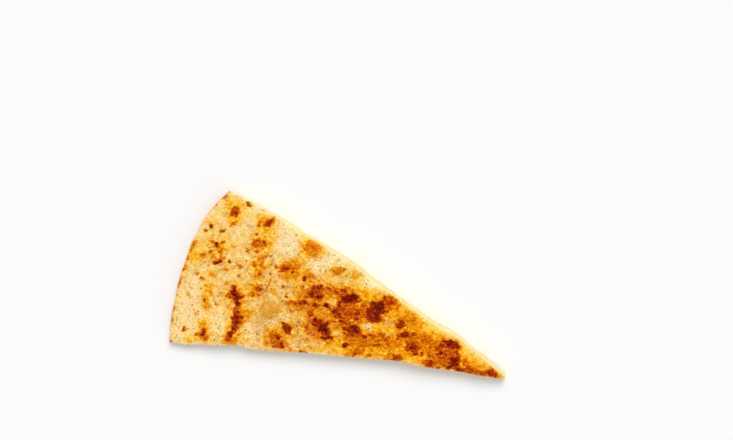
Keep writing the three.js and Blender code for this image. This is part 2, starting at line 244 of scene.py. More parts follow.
# ------------------------------------------------------------------------------
# Where the pan browned the top. Each mark is an uneven oval:
# x, y, half length, half width, turn in degrees, how dark, how golden around it
# ------------------------------------------------------------------------------
# >>> marks
MARKS = [
    # browned areas
    (-16.4, 9.4, 4.3, 2.2, 47, 0.64, 0.5), (-9.0, 12.5, 7.1, 1.6, 12, 0.48, 0.5), (-1.3, 11.8, 3.8, 1.8, 25, 0.86, 0.4),
    (-3.8, 4.4, 3.9, 1.8, -84, 0.56, 0.4), (1.8, 5.7, 4.0, 2.5, 23, 0.54, 0.4), (-9.2, -5.3, 5.0, 2.3, -34, 0.72, 0.5),
    (4.8, -1.4, 3.5, 1.7, 13, 0.74, 0.4), (11.2, 10.4, 5.8, 2.9, 72, 0.72, 0.4), (6.0, 7.4, 2.1, 2.0, 89, 0.50, 0.4),
    (16.0, 17.4, 3.5, 2.0, 31, 0.60, 0.5), (12.7, -3.9, 11.1, 2.1, 18, 0.42, 0.5), (8.2, -12.6, 3.6, 1.2, 33, 0.42, 0.5),
    (-19.8, 1.5, 8.0, 1.8, 19, 0.42, 0.4), (-21.1, 5.2, 2.7, 1.8, 23, 0.40, 0.4), (-22.9, -11.7, 2.7, 1.5, -35, 0.76, 0.5),
    (-24.9, -14.2, 1.4, 1.2, 32, 0.36, 0.7), (-25.3, -18.7, 3.8, 2.6, -20, 0.52, 0.6), (-29.1, -18.0, 2.1, 1.1, -68, 0.36, 0.6),
    (-47.0, 21.1, 3.1, 1.8, 23, 0.50, 0.6), (-61.7, 30.4, 2.0, 1.8, -78, 0.66, 0.6), (-49.6, -5.6, 5.0, 1.5, -55, 0.56, 0.5),
    (-45.2, -16.8, 4.7, 1.7, -85, 0.56, 0.5), (-46.0, -25.0, 2.8, 1.5, -89, 0.56, 0.6), (-57.5, -28.2, 2.8, 1.5, -75, 0.46, 0.6),
    (43.3, 3.0, 4.9, 4.0, -11, 0.44, 0.4), (48.4, 0.5, 5.4, 3.2, -14, 0.52, 0.5), (31.9, 0.5, 3.3, 2.1, -4, 0.60, 0.4),
    (32.2, 0.3, 1.8, 1.6, 2, 0.72, 0.3), (47.8, 7.9, 3.5, 1.6, 1, 0.80, 0.4), (51.4, 0.7, 2.3, 2.0, -67, 0.84, 0.4),
    (61.4, -0.3, 6.6, 1.1, 9, 0.56, 0.4), (69.1, 1.7, 2.2, 1.7, -3, 0.66, 0.5), (42.1, -4.1, 2.2, 1.7, 25, 0.62, 0.5),
    (27.2, 4.5, 3.6, 1.4, 25, 0.56, 0.5), (23.2, -1.6, 4.5, 1.8, 22, 0.40, 0.5), (23.7, 8.4, 2.0, 1.9, 28, 0.60, 0.6),
    (-24.1, 27.3, 3.1, 2.7, 21, 0.42, 0.8), (-31.1, 14.4, 2.9, 1.6, 32, 0.45, 0.6), (-9.8, 22.0, 2.2, 1.2, 33, 0.44, 0.4),
    (-41.1, 0.7, 2.7, 1.8, 34, 0.38, 0.5), (-10.9, 5.7, 1.8, 1.4, 23, 0.34, 0.3), (0.3, 0.6, 2.7, 1.4, 1, 0.56, 0.4),
    (27.5, -7.0, 2.0, 1.5, 13, 0.62, 0.5), (-64.3, 12.8, 1.8, 1.1, 25, 0.40, 0.5), (-62.0, 5.9, 1.8, 0.9, 39, 0.60, 0.5),
    (-46.1, 31.5, 2.7, 1.1, 55, 0.50, 0.6), (-21.8, 13.9, 1.6, 1.5, 76, 0.42, 0.3),
    # rim end
    (-68.1, 35.4, 0.9, 0.7, 20, 0.42, 0.3), (-69.4, 20.5, 0.8, 0.8, 71, 0.68, 0.3), (-71.2, 17.9, 0.7, 0.7, 72, 0.66, 0.2),
    (-64.3, 20.1, 1.3, 0.7, 52, 0.74, 0.3), (-60.4, 25.3, 2.5, 0.5, 53, 0.42, 0.7), (-66.4, 13.4, 0.9, 0.6, -5, 0.58, 0.3),
    (-64.4, 13.2, 1.1, 0.9, 28, 0.74, 0.5), (-62.3, 15.5, 0.7, 0.5, 26, 0.50, 0.2), (-62.0, 11.5, 1.4, 0.7, 52, 0.48, 0.5),
    (-66.4, 9.2, 1.0, 0.7, 71, 0.46, 0.5), (-69.3, 6.4, 1.3, 0.9, 24, 0.50, 0.4), (-64.0, 7.5, 0.8, 0.7, 32, 0.48, 0.3),
    (-61.3, 6.1, 1.9, 0.6, 38, 0.88, 0.5), (-59.6, 8.8, 0.5, 0.5, 38, 0.50, 0.1), (-57.1, 8.4, 0.5, 0.5, 72, 0.93, 0.1),
    (-74.3, 8.9, 3.0, 0.7, 82, 0.42, 0.3), (-75.3, 3.1, 0.8, 0.7, 79, 0.62, 0.3), (-75.3, -2.8, 2.1, 0.7, 68, 0.50, 0.3),
    (-75.4, -8.4, 3.3, 0.7, -78, 0.48, 0.3), (-73.8, -21.8, 2.1, 0.6, -82, 0.42, 0.2), (-72.7, -28.5, 2.1, 0.5, -77, 0.36, 0.1),
    (-70.3, -37.8, 0.9, 0.5, 80, 0.68, 0.0), (-68.8, -2.3, 0.8, 0.7, 31, 0.45, 0.2), (-66.0, -3.7, 0.9, 0.7, 27, 0.45, 0.3),
    (-62.2, -0.6, 1.3, 0.8, -23, 0.36, 0.5), (-63.3, -6.0, 0.7, 0.6, 32, 0.38, 0.1), (-57.2, 4.4, 0.7, 0.6, 31, 0.50, 0.2),
    (-54.7, -1.6, 0.5, 0.4, 79, 0.46, 0.1), (-55.5, -7.1, 0.9, 0.9, 85, 0.38, 0.1), (-56.7, -12.3, 0.5, 0.5, 76, 0.52, 0.1),
    (-69.4, -13.3, 0.7, 0.7, 76, 0.29, 0.0), (-62.9, -20.6, 0.7, 0.7, 61, 0.43, 0.0), (-66.3, -29.5, 0.9, 0.8, -85, 0.64, 0.2),
    (-60.3, -29.5, 0.7, 0.5, -80, 0.56, 0.1), (-60.7, -7.9, 2.3, 0.9, -72, 0.32, 0.3), (-61.4, -13.2, 0.9, 0.6, -76, 0.64, 0.4),
    (-60.7, -13.9, 3.5, 1.4, -73, 0.32, 0.5), (-62.0, -33.9, 0.9, 0.7, 31, 0.30, 0.5), (-57.5, -26.7, 1.4, 0.8, -75, 0.80, 0.6),
    (-57.7, -29.1, 1.1, 0.8, 30, 0.74, 0.5), (-56.2, -29.9, 1.6, 1.2, 30, 0.50, 0.7), (-54.7, -28.5, 0.9, 0.6, 27, 0.50, 0.3),
    (-58.4, -24.5, 2.0, 1.8, 68, 0.30, 0.7),
    # long streak
    (-50.9, -3.3, 1.2, 0.8, -75, 0.66, 0.5), (-50.8, -4.3, 1.4, 1.1, -77, 0.82, 0.5), (-51.9, -6.7, 1.2, 1.1, 83, 0.60, 0.6),
    (-47.0, -5.1, 1.6, 0.9, -73, 0.60, 0.6), (-50.0, -5.2, 1.4, 1.1, -77, 0.84, 0.5), (-48.5, -6.9, 1.4, 1.2, -82, 0.86, 0.5),
    (-47.4, -8.9, 1.6, 1.4, -80, 0.92, 0.5), (-47.2, -11.4, 0.9, 0.9, 79, 0.56, 0.5), (-46.4, -13.3, 1.6, 1.2, 24, 0.74, 0.5),
    (-43.9, -14.3, 1.3, 0.8, 1, 0.72, 0.4), (-46.1, -15.6, 1.5, 1.4, 38, 0.80, 0.4), (-45.1, -17.7, 1.5, 1.3, 28, 0.84, 0.4),
    (-45.0, -20.2, 1.4, 1.2, -89, 0.80, 0.4), (-43.5, -15.6, 1.2, 0.9, -75, 0.62, 0.4), (-45.1, -22.0, 0.9, 0.9, 87, 0.66, 0.4),
    (-45.7, -23.9, 1.4, 1.0, -87, 0.80, 0.5), (-46.0, -26.5, 1.2, 0.9, -77, 0.62, 0.6), (-44.9, -25.6, 2.6, 2.2, -80, 0.40, 0.7),
    (-42.3, -11.9, 2.1, 1.4, 35, 0.36, 0.7),
    # middle
    (-62.6, 30.3, 1.6, 1.1, -73, 0.58, 0.6), (-61.0, 30.5, 1.1, 0.9, -74, 0.72, 0.4), (-62.7, 33.2, 1.6, 1.3, 25, 0.22, 0.6),
    (-57.1, 35.7, 0.9, 0.8, -68, 0.88, 0.3), (-45.5, 31.9, 2.9, 0.9, 58, 0.70, 0.5), (-49.5, 29.3, 1.1, 0.9, -74, 0.55, 0.4),
    (-49.1, 31.3, 1.1, 0.9, 24, 0.34, 0.5), (-46.1, 27.4, 1.1, 0.7, -72, 0.40, 0.5), (-48.1, 21.4, 0.9, 0.9, 73, 0.62, 0.5),
    (-44.7, 22.0, 0.9, 0.9, 74, 0.70, 0.5), (-46.5, 21.2, 2.5, 1.4, 22, 0.50, 0.6), (-46.7, 17.5, 1.1, 0.9, -76, 0.50, 0.3),
    (-51.1, 16.1, 0.6, 0.6, 78, 0.68, 0.1), (-49.3, 24.5, 0.5, 0.4, 74, 0.50, 0.1), (-57.0, 15.2, 0.9, 0.7, 26, 0.34, 0.3),
    (-51.5, 7.8, 0.9, 0.8, -79, 0.50, 0.2), (-50.7, 3.4, 0.6, 0.6, 82, 0.62, 0.1), (-43.4, 15.4, 2.7, 0.8, 38, 0.42, 0.6),
    (-45.8, 11.2, 1.1, 0.9, 26, 0.50, 0.4), (-42.6, 11.5, 1.3, 0.9, -23, 0.45, 0.4), (-38.7, 13.9, 0.5, 0.5, 86, 0.45, 0.1),
    (-36.6, 13.3, 0.5, 0.5, 85, 0.48, 0.1), (-32.6, 14.3, 1.8, 1.6, 30, 0.66, 0.6), (-31.9, 14.1, 0.9, 0.8, 80, 0.76, 0.0),
    (-29.2, 17.6, 1.8, 1.7, -82, 0.42, 0.7), (-42.5, 7.8, 0.8, 0.7, 83, 0.62, 0.5), (-42.9, 7.7, 2.5, 1.6, -73, 0.37, 0.6),
    (-37.7, 9.6, 0.5, 0.4, 83, 0.50, 0.0), (-44.1, 1.3, 0.9, 0.5, 23, 0.54, 0.2), (-40.5, 1.0, 1.1, 0.9, 27, 0.68, 0.5),
    (-39.1, 2.0, 0.7, 0.7, 77, 0.56, 0.4), (-42.1, -2.6, 0.7, 0.7, 75, 0.52, 0.3), (-39.7, -1.9, 0.9, 0.7, -75, 0.50, 0.3),
    (-33.9, 2.6, 1.4, 0.9, -73, 0.31, 0.4), (-30.7, 5.5, 0.6, 0.5, 75, 0.50, 0.1), (-27.9, 2.3, 0.5, 0.5, 76, 0.60, 0.0),
    (-28.7, 13.6, 0.6, 0.6, 76, 0.70, 0.1), (-23.1, 13.1, 1.0, 0.9, 75, 0.94, 0.4), (-21.4, 14.8, 1.2, 0.9, -73, 0.52, 0.5),
    (-30.3, 11.3, 3.6, 1.6, 22, 0.36, 0.6), (-37.0, 4.8, 3.7, 0.4, 85, 0.40, 0.0), (-25.7, 6.3, 1.1, 0.9, -75, 0.31, 0.4),
    (-23.4, -3.1, 1.1, 0.9, 27, 0.48, 0.2), (-25.6, -17.1, 1.2, 1.1, 82, 0.78, 0.4), (-28.4, -17.2, 1.9, 1.0, -73, 0.52, 0.6),
    (-29.7, -21.3, 1.0, 0.9, 83, 0.42, 0.4), (-22.5, -19.9, 1.7, 1.1, -75, 0.75, 0.5), (-24.7, -21.3, 1.4, 1.0, 27, 0.60, 0.4),
    (-23.1, -11.7, 1.4, 0.7, -82, 0.50, 0.5), (-22.6, -13.8, 0.9, 0.7, 47, 0.50, 0.3), (-18.0, -20.7, 0.9, 0.7, 34, 0.42, 0.4),
    (-13.9, -20.1, 0.8, 0.7, -90, 0.93, 0.3), (-12.3, -19.1, 1.2, 0.5, 45, 0.60, 0.3), (-14.7, -7.9, 0.9, 0.7, 25, 0.57, 0.3),
    (-12.8, -12.7, 0.7, 0.5, 24, 0.50, 0.1), (-10.3, -16.5, 0.7, 0.5, 26, 0.50, 0.1), (-3.9, -11.8, 0.7, 0.5, 22, 0.50, 0.1),
    (-19.1, -8.9, 0.6, 0.5, 84, 0.50, 0.1),
    # first blotches
    (-24.2, 27.7, 2.4, 2.0, 20, 0.50, 0.6), (-24.3, 25.3, 1.8, 1.4, 23, 0.41, 0.5), (-27.2, 25.6, 0.7, 0.5, -73, 0.60, 0.2),
    (-20.5, 27.6, 0.7, 0.5, 19, 0.42, 0.1), (-10.3, 20.8, 1.8, 1.1, 23, 0.45, 0.4), (-11.8, 20.9, 0.9, 0.6, 1, 0.56, 0.3),
    (-8.9, 22.8, 0.8, 0.7, 32, 0.56, 0.3), (-1.9, 22.9, 1.8, 1.6, 24, 0.30, 0.5), (-15.3, 19.6, 0.5, 0.4, 80, 0.36, 0.0),
    (-15.6, 11.7, 1.6, 1.1, 53, 0.78, 0.5), (-17.4, 10.3, 1.4, 1.3, 82, 0.76, 0.4), (-17.9, 7.6, 1.6, 1.2, -74, 0.82, 0.4),
    (-19.6, 8.3, 1.0, 0.8, -74, 0.56, 0.4), (-19.3, 5.6, 0.9, 0.9, 79, 0.56, 0.3), (-12.1, 11.8, 2.0, 1.0, 11, 0.45, 0.4),
    (-9.2, 11.8, 1.3, 0.9, 22, 0.50, 0.3), (-20.1, 2.4, 2.0, 1.1, 33, 0.72, 0.4), (-17.6, 2.1, 0.9, 0.8, 29, 0.60, 0.3),
    (-22.0, 2.4, 0.9, 0.7, 25, 0.64, 0.3), (-24.9, 0.5, 2.7, 0.9, 22, 0.52, 0.4), (-23.1, 0.7, 0.9, 0.8, 31, 0.70, 0.3),
    (-22.5, 9.3, 0.7, 0.6, 29, 0.50, 0.2), (-13.8, 7.5, 1.6, 1.0, 37, 0.82, 0.3), (-13.8, 6.0, 0.9, 0.7, 23, 0.60, 0.3),
    (-14.4, 3.1, 1.5, 1.1, 5, 0.70, 0.4), (-9.7, 4.9, 1.1, 1.0, -88, 0.96, 0.3), (-15.4, -1.5, 1.5, 1.2, -75, 0.60, 0.4),
    (-11.0, 12.2, 1.1, 0.9, 24, 0.62, 0.3),
    # dark diagonal
    (-12.0, -3.4, 1.4, 1.1, -26, 0.87, 0.4), (-11.5, -5.5, 1.4, 1.0, -73, 0.76, 0.3), (-9.9, -4.6, 1.1, 1.0, -86, 0.85, 0.2),
    (-8.0, -5.8, 2.1, 1.9, -78, 0.98, 0.3), (-7.1, -3.1, 1.1, 0.9, -76, 0.82, 0.2), (-5.7, -6.5, 1.6, 1.2, 82, 0.78, 0.3),
    (-9.3, -7.1, 1.0, 1.0, 31, 0.86, 0.2), (-9.6, -6.2, 5.7, 5.3, 35, 0.45, 0.6), (-4.8, -9.3, 2.7, 0.8, 18, 0.78, 0.4),
    # middle blotches
    (-7.9, 11.9, 1.2, 0.9, 6, 0.66, 0.4), (-2.5, -3.5, 0.9, 0.9, 89, 0.45, 0.3), (-6.2, 10.4, 1.1, 0.9, -75, 0.50, 0.4),
    (-5.1, 14.0, 1.0, 0.8, 24, 0.72, 0.4), (-3.7, 13.3, 1.0, 0.8, 25, 0.55, 0.4), (-5.1, 11.3, 0.9, 0.9, 87, 0.64, 0.3),
    (-5.1, 14.7, 2.7, 0.7, 26, 0.42, 0.4), (-1.7, 11.6, 2.2, 1.1, 27, 0.96, 0.4), (-3.9, 10.0, 0.9, 0.9, 85, 0.78, 0.3),
    (-2.1, 9.5, 1.4, 0.7, 6, 0.84, 0.3), (2.0, 11.4, 2.5, 0.6, 39, 0.72, 0.3), (-1.0, 12.3, 0.9, 0.7, 2, 0.66, 0.3),
    (-4.7, 8.3, 1.1, 0.9, 25, 0.78, 0.3), (-4.6, 6.5, 1.2, 1.0, 26, 0.79, 0.3), (-4.5, 4.9, 1.1, 0.8, 24, 0.72, 0.3),
    (-1.6, 8.1, 1.8, 0.6, 14, 0.63, 0.3), (-4.7, 3.4, 2.1, 0.9, 3, 0.76, 0.4), (-2.5, 2.0, 0.9, 0.9, 84, 0.78, 0.3),
    (-4.1, 1.8, 1.1, 0.8, 24, 0.70, 0.3), (-0.8, 0.4, 1.5, 0.8, 23, 0.77, 0.3), (-0.5, -1.2, 0.9, 0.7, 26, 0.65, 0.3),
    (0.5, 4.9, 2.0, 1.6, 26, 0.58, 0.4), (4.0, 6.3, 1.5, 1.1, 25, 0.78, 0.4), (4.3, 4.0, 1.1, 0.8, 24, 0.68, 0.3),
    (1.3, -2.3, 1.3, 0.8, 24, 0.72, 0.3), (3.3, -1.2, 0.9, 0.7, 26, 0.78, 0.2), (5.1, -1.1, 1.3, 0.9, 24, 0.95, 0.3),
    (6.3, -1.7, 1.6, 0.6, 22, 0.82, 0.3), (3.4, -2.7, 1.3, 0.5, 22, 0.74, 0.3), (10.9, -2.8, 1.1, 1.0, -3, 0.80, 0.3),
    (8.3, -3.3, 3.1, 1.1, 21, 0.56, 0.4), (4.0, -6.0, 1.6, 0.9, 23, 0.54, 0.3), (4.1, -9.7, 1.7, 0.9, 41, 0.82, 0.4),
    (17.2, -4.6, 1.6, 0.6, 27, 0.65, 0.3), (17.3, 1.1, 1.1, 1.0, -83, 0.54, 0.4), (14.6, -1.3, 0.9, 0.7, 24, 0.53, 0.3),
    (11.3, -5.2, 1.6, 0.7, 22, 0.52, 0.2), (8.9, -12.6, 0.9, 0.9, 58, 0.65, 0.4), (9.9, -10.6, 1.6, 1.2, 47, 0.53, 0.5),
    (15.3, -10.0, 0.8, 0.7, 31, 0.52, 0.3),
    # large dark
    (8.8, 9.2, 1.8, 1.3, -73, 0.82, 0.4), (9.4, 12.9, 1.6, 1.3, 59, 0.80, 0.4), (11.7, 12.6, 1.8, 1.6, 32, 0.84, 0.3),
    (13.0, 14.2, 0.9, 0.9, 90, 0.93, 0.2), (13.8, 11.9, 2.1, 1.0, -71, 0.94, 0.2), (12.5, 9.7, 1.9, 1.6, -76, 0.84, 0.3),
    (13.1, 7.2, 1.8, 1.4, 38, 0.80, 0.3), (10.6, 6.9, 1.4, 1.3, -89, 0.74, 0.4), (7.6, 6.7, 1.8, 0.8, 22, 0.58, 0.3),
    (13.0, 17.3, 0.7, 0.7, -75, 0.78, 0.2), (16.0, 16.7, 1.7, 1.2, 40, 0.72, 0.4), (16.0, 18.8, 1.4, 0.8, 7, 0.74, 0.3),
    (18.4, 19.1, 1.3, 0.6, -1, 0.66, 0.3), (19.1, 17.3, 1.3, 1.1, -65, 0.50, 0.4), (14.4, 15.4, 1.5, 1.4, 26, 0.68, 0.4),
    (19.7, 14.9, 0.7, 0.5, 19, 0.57, 0.3), (16.8, 14.6, 1.1, 0.7, 21, 0.55, 0.3), (15.9, 12.0, 0.9, 0.8, 28, 0.62, 0.3),
    # streaks
    (5.1, -3.8, 4.0, 0.6, 18, 0.64, 0.2), (14.1, -1.1, 3.1, 0.5, 15, 0.60, 0.2), (8.5, -5.3, 3.6, 0.5, 30, 0.52, 0.2),
    (18.2, -2.1, 3.1, 0.5, 16, 0.52, 0.2), (12.7, -6.7, 4.5, 0.5, 25, 0.50, 0.2), (-0.1, 8.4, 2.5, 0.4, 32, 0.50, 0.2),
    (3.9, 8.0, 2.7, 0.5, 9, 0.60, 0.2), (1.2, 3.5, 2.9, 0.5, 36, 0.54, 0.2), (5.7, 10.7, 2.0, 0.5, 44, 0.60, 0.2),
    (41.8, -0.6, 2.2, 0.5, 3, 0.58, 0.2), (43.5, 5.0, 2.6, 0.5, 8, 0.60, 0.2), (37.0, 7.3, 2.4, 0.5, -5, 0.46, 0.2),
    (33.9, 2.7, 2.2, 0.5, 30, 0.54, 0.2), (46.6, 4.2, 2.0, 0.5, 50, 0.62, 0.2), (44.4, -2.6, 2.0, 0.5, 8, 0.56, 0.2),
    (-8.0, 4.3, 3.1, 0.5, 13, 0.50, 0.2), (-10.3, 1.4, 2.7, 0.5, 36, 0.46, 0.2), (-7.0, 1.2, 2.2, 0.5, 0, 0.46, 0.2),
    (-20.0, -0.5, 3.2, 0.5, 27, 0.42, 0.2), (56.3, -1.8, 3.1, 0.5, 6, 0.62, 0.2), (63.3, -0.3, 2.7, 0.5, 10, 0.64, 0.2),
    # right of it
    (24.7, 12.8, 2.0, 1.4, 20, 0.38, 0.5), (23.7, 8.4, 1.9, 1.8, -12, 0.70, 0.5), (23.3, 8.5, 0.8, 0.8, -77, 0.80, 0.0),
    (27.9, 12.2, 1.2, 0.8, 20, 0.50, 0.4), (27.1, 4.5, 1.9, 1.3, 23, 0.80, 0.4), (30.4, 6.0, 1.3, 1.0, 33, 0.66, 0.4),
    (24.4, 1.6, 0.6, 0.5, -88, 0.68, 0.0), (25.0, -1.3, 0.7, 0.5, 23, 0.46, 0.1), (21.4, -1.7, 1.3, 1.1, 24, 0.60, 0.4),
    (19.9, -0.3, 1.4, 0.7, 43, 0.55, 0.3), (30.2, 0.0, 1.0, 0.7, 24, 0.70, 0.3), (31.9, 0.0, 1.1, 1.1, 49, 0.82, 0.3),
    (33.1, 1.4, 1.3, 1.1, -76, 0.72, 0.4), (33.3, -0.7, 1.1, 0.9, 26, 0.68, 0.3), (34.7, -1.7, 0.7, 0.7, -88, 0.94, 0.2),
    (37.0, -1.0, 0.7, 0.6, 31, 0.62, 0.3), (35.9, 5.0, 1.4, 1.3, -80, 0.55, 0.4), (33.7, 6.1, 1.8, 1.1, 21, 0.46, 0.3),
    (39.3, 3.6, 1.1, 0.7, -70, 0.57, 0.3), (42.5, 3.9, 1.0, 1.0, -83, 0.74, 0.3), (40.2, 4.9, 0.9, 0.7, 21, 0.55, 0.3),
    (29.7, 10.4, 2.0, 1.8, 23, 0.36, 0.5), (40.6, 5.5, 0.7, 0.5, 21, 0.53, 0.2), (38.4, 9.8, 0.7, 0.5, -71, 0.45, 0.1),
    (27.1, -7.1, 1.1, 1.0, 33, 0.74, 0.4), (27.0, -8.2, 0.9, 0.5, 25, 0.83, 0.2), (28.5, -5.3, 0.6, 0.6, 42, 0.55, 0.2),
    (25.6, -8.6, 0.7, 0.5, 28, 0.63, 0.2), (42.0, -3.8, 1.7, 1.5, -76, 0.74, 0.4), (46.1, -4.3, 1.1, 0.6, 16, 0.78, 0.3),
    # tip blotches
    (46.5, 8.0, 1.3, 1.1, 34, 0.88, 0.4), (47.3, 9.1, 1.3, 0.9, 8, 0.93, 0.2), (49.1, 8.8, 1.6, 1.1, -17, 0.86, 0.3),
    (50.6, 7.9, 1.1, 1.0, 8, 0.90, 0.3), (47.9, 6.9, 2.2, 1.1, 21, 0.76, 0.3), (44.3, 6.1, 1.1, 0.7, 21, 0.74, 0.3),
    (45.2, 2.5, 0.9, 0.7, -13, 0.84, 0.2), (47.2, 2.5, 0.8, 0.5, -13, 0.88, 0.1), (44.2, 3.5, 1.0, 0.8, 20, 0.72, 0.3),
    (43.5, 1.7, 0.9, 0.8, 25, 0.66, 0.3), (46.2, 0.7, 1.3, 0.7, 20, 0.66, 0.3), (51.3, 5.1, 1.4, 0.7, -70, 0.70, 0.3),
    (52.6, 2.7, 1.3, 0.8, -69, 0.76, 0.3), (54.0, 1.9, 0.7, 0.7, -60, 0.62, 0.2), (51.5, 0.6, 1.5, 1.5, -62, 0.95, 0.3),
    (52.7, -0.5, 1.1, 1.0, 21, 0.88, 0.2), (49.8, -0.3, 1.4, 0.9, -70, 0.72, 0.3), (50.7, -2.9, 0.9, 0.8, 27, 0.88, 0.2),
    (51.3, -1.6, 0.9, 0.7, 24, 0.82, 0.2), (49.1, 3.6, 1.8, 1.5, -67, 0.55, 0.4), (55.3, -2.2, 1.9, 0.8, -2, 0.88, 0.3),
    (56.3, 2.0, 1.1, 1.0, -72, 0.57, 0.4), (58.3, 0.3, 1.1, 0.5, 26, 0.68, 0.3), (59.8, -1.1, 0.9, 0.9, 78, 0.72, 0.3),
    (60.8, -1.3, 3.5, 0.9, 8, 0.60, 0.3), (64.6, -0.6, 0.8, 0.6, 23, 0.88, 0.2), (66.3, 0.3, 1.2, 1.1, -70, 0.62, 0.3),
    (68.5, 1.3, 0.9, 0.8, -80, 0.84, 0.1), (69.6, 1.8, 1.8, 1.5, -13, 0.72, 0.3), (69.3, 0.5, 1.1, 0.6, 18, 0.76, 0.1),
    (71.0, 0.1, 1.0, 0.6, -1, 0.72, 0.2), (57.9, 6.5, 0.6, 0.5, 2, 0.42, 0.1), (71.3, 2.3, 1.1, 0.8, 5, 0.34, 0.5),
]
# <<< marks

# One low blister kept clear of the pan: smooth and dull tan.
BLISTER = (-32.9, -6.4, 5.0, 4.3, 25)

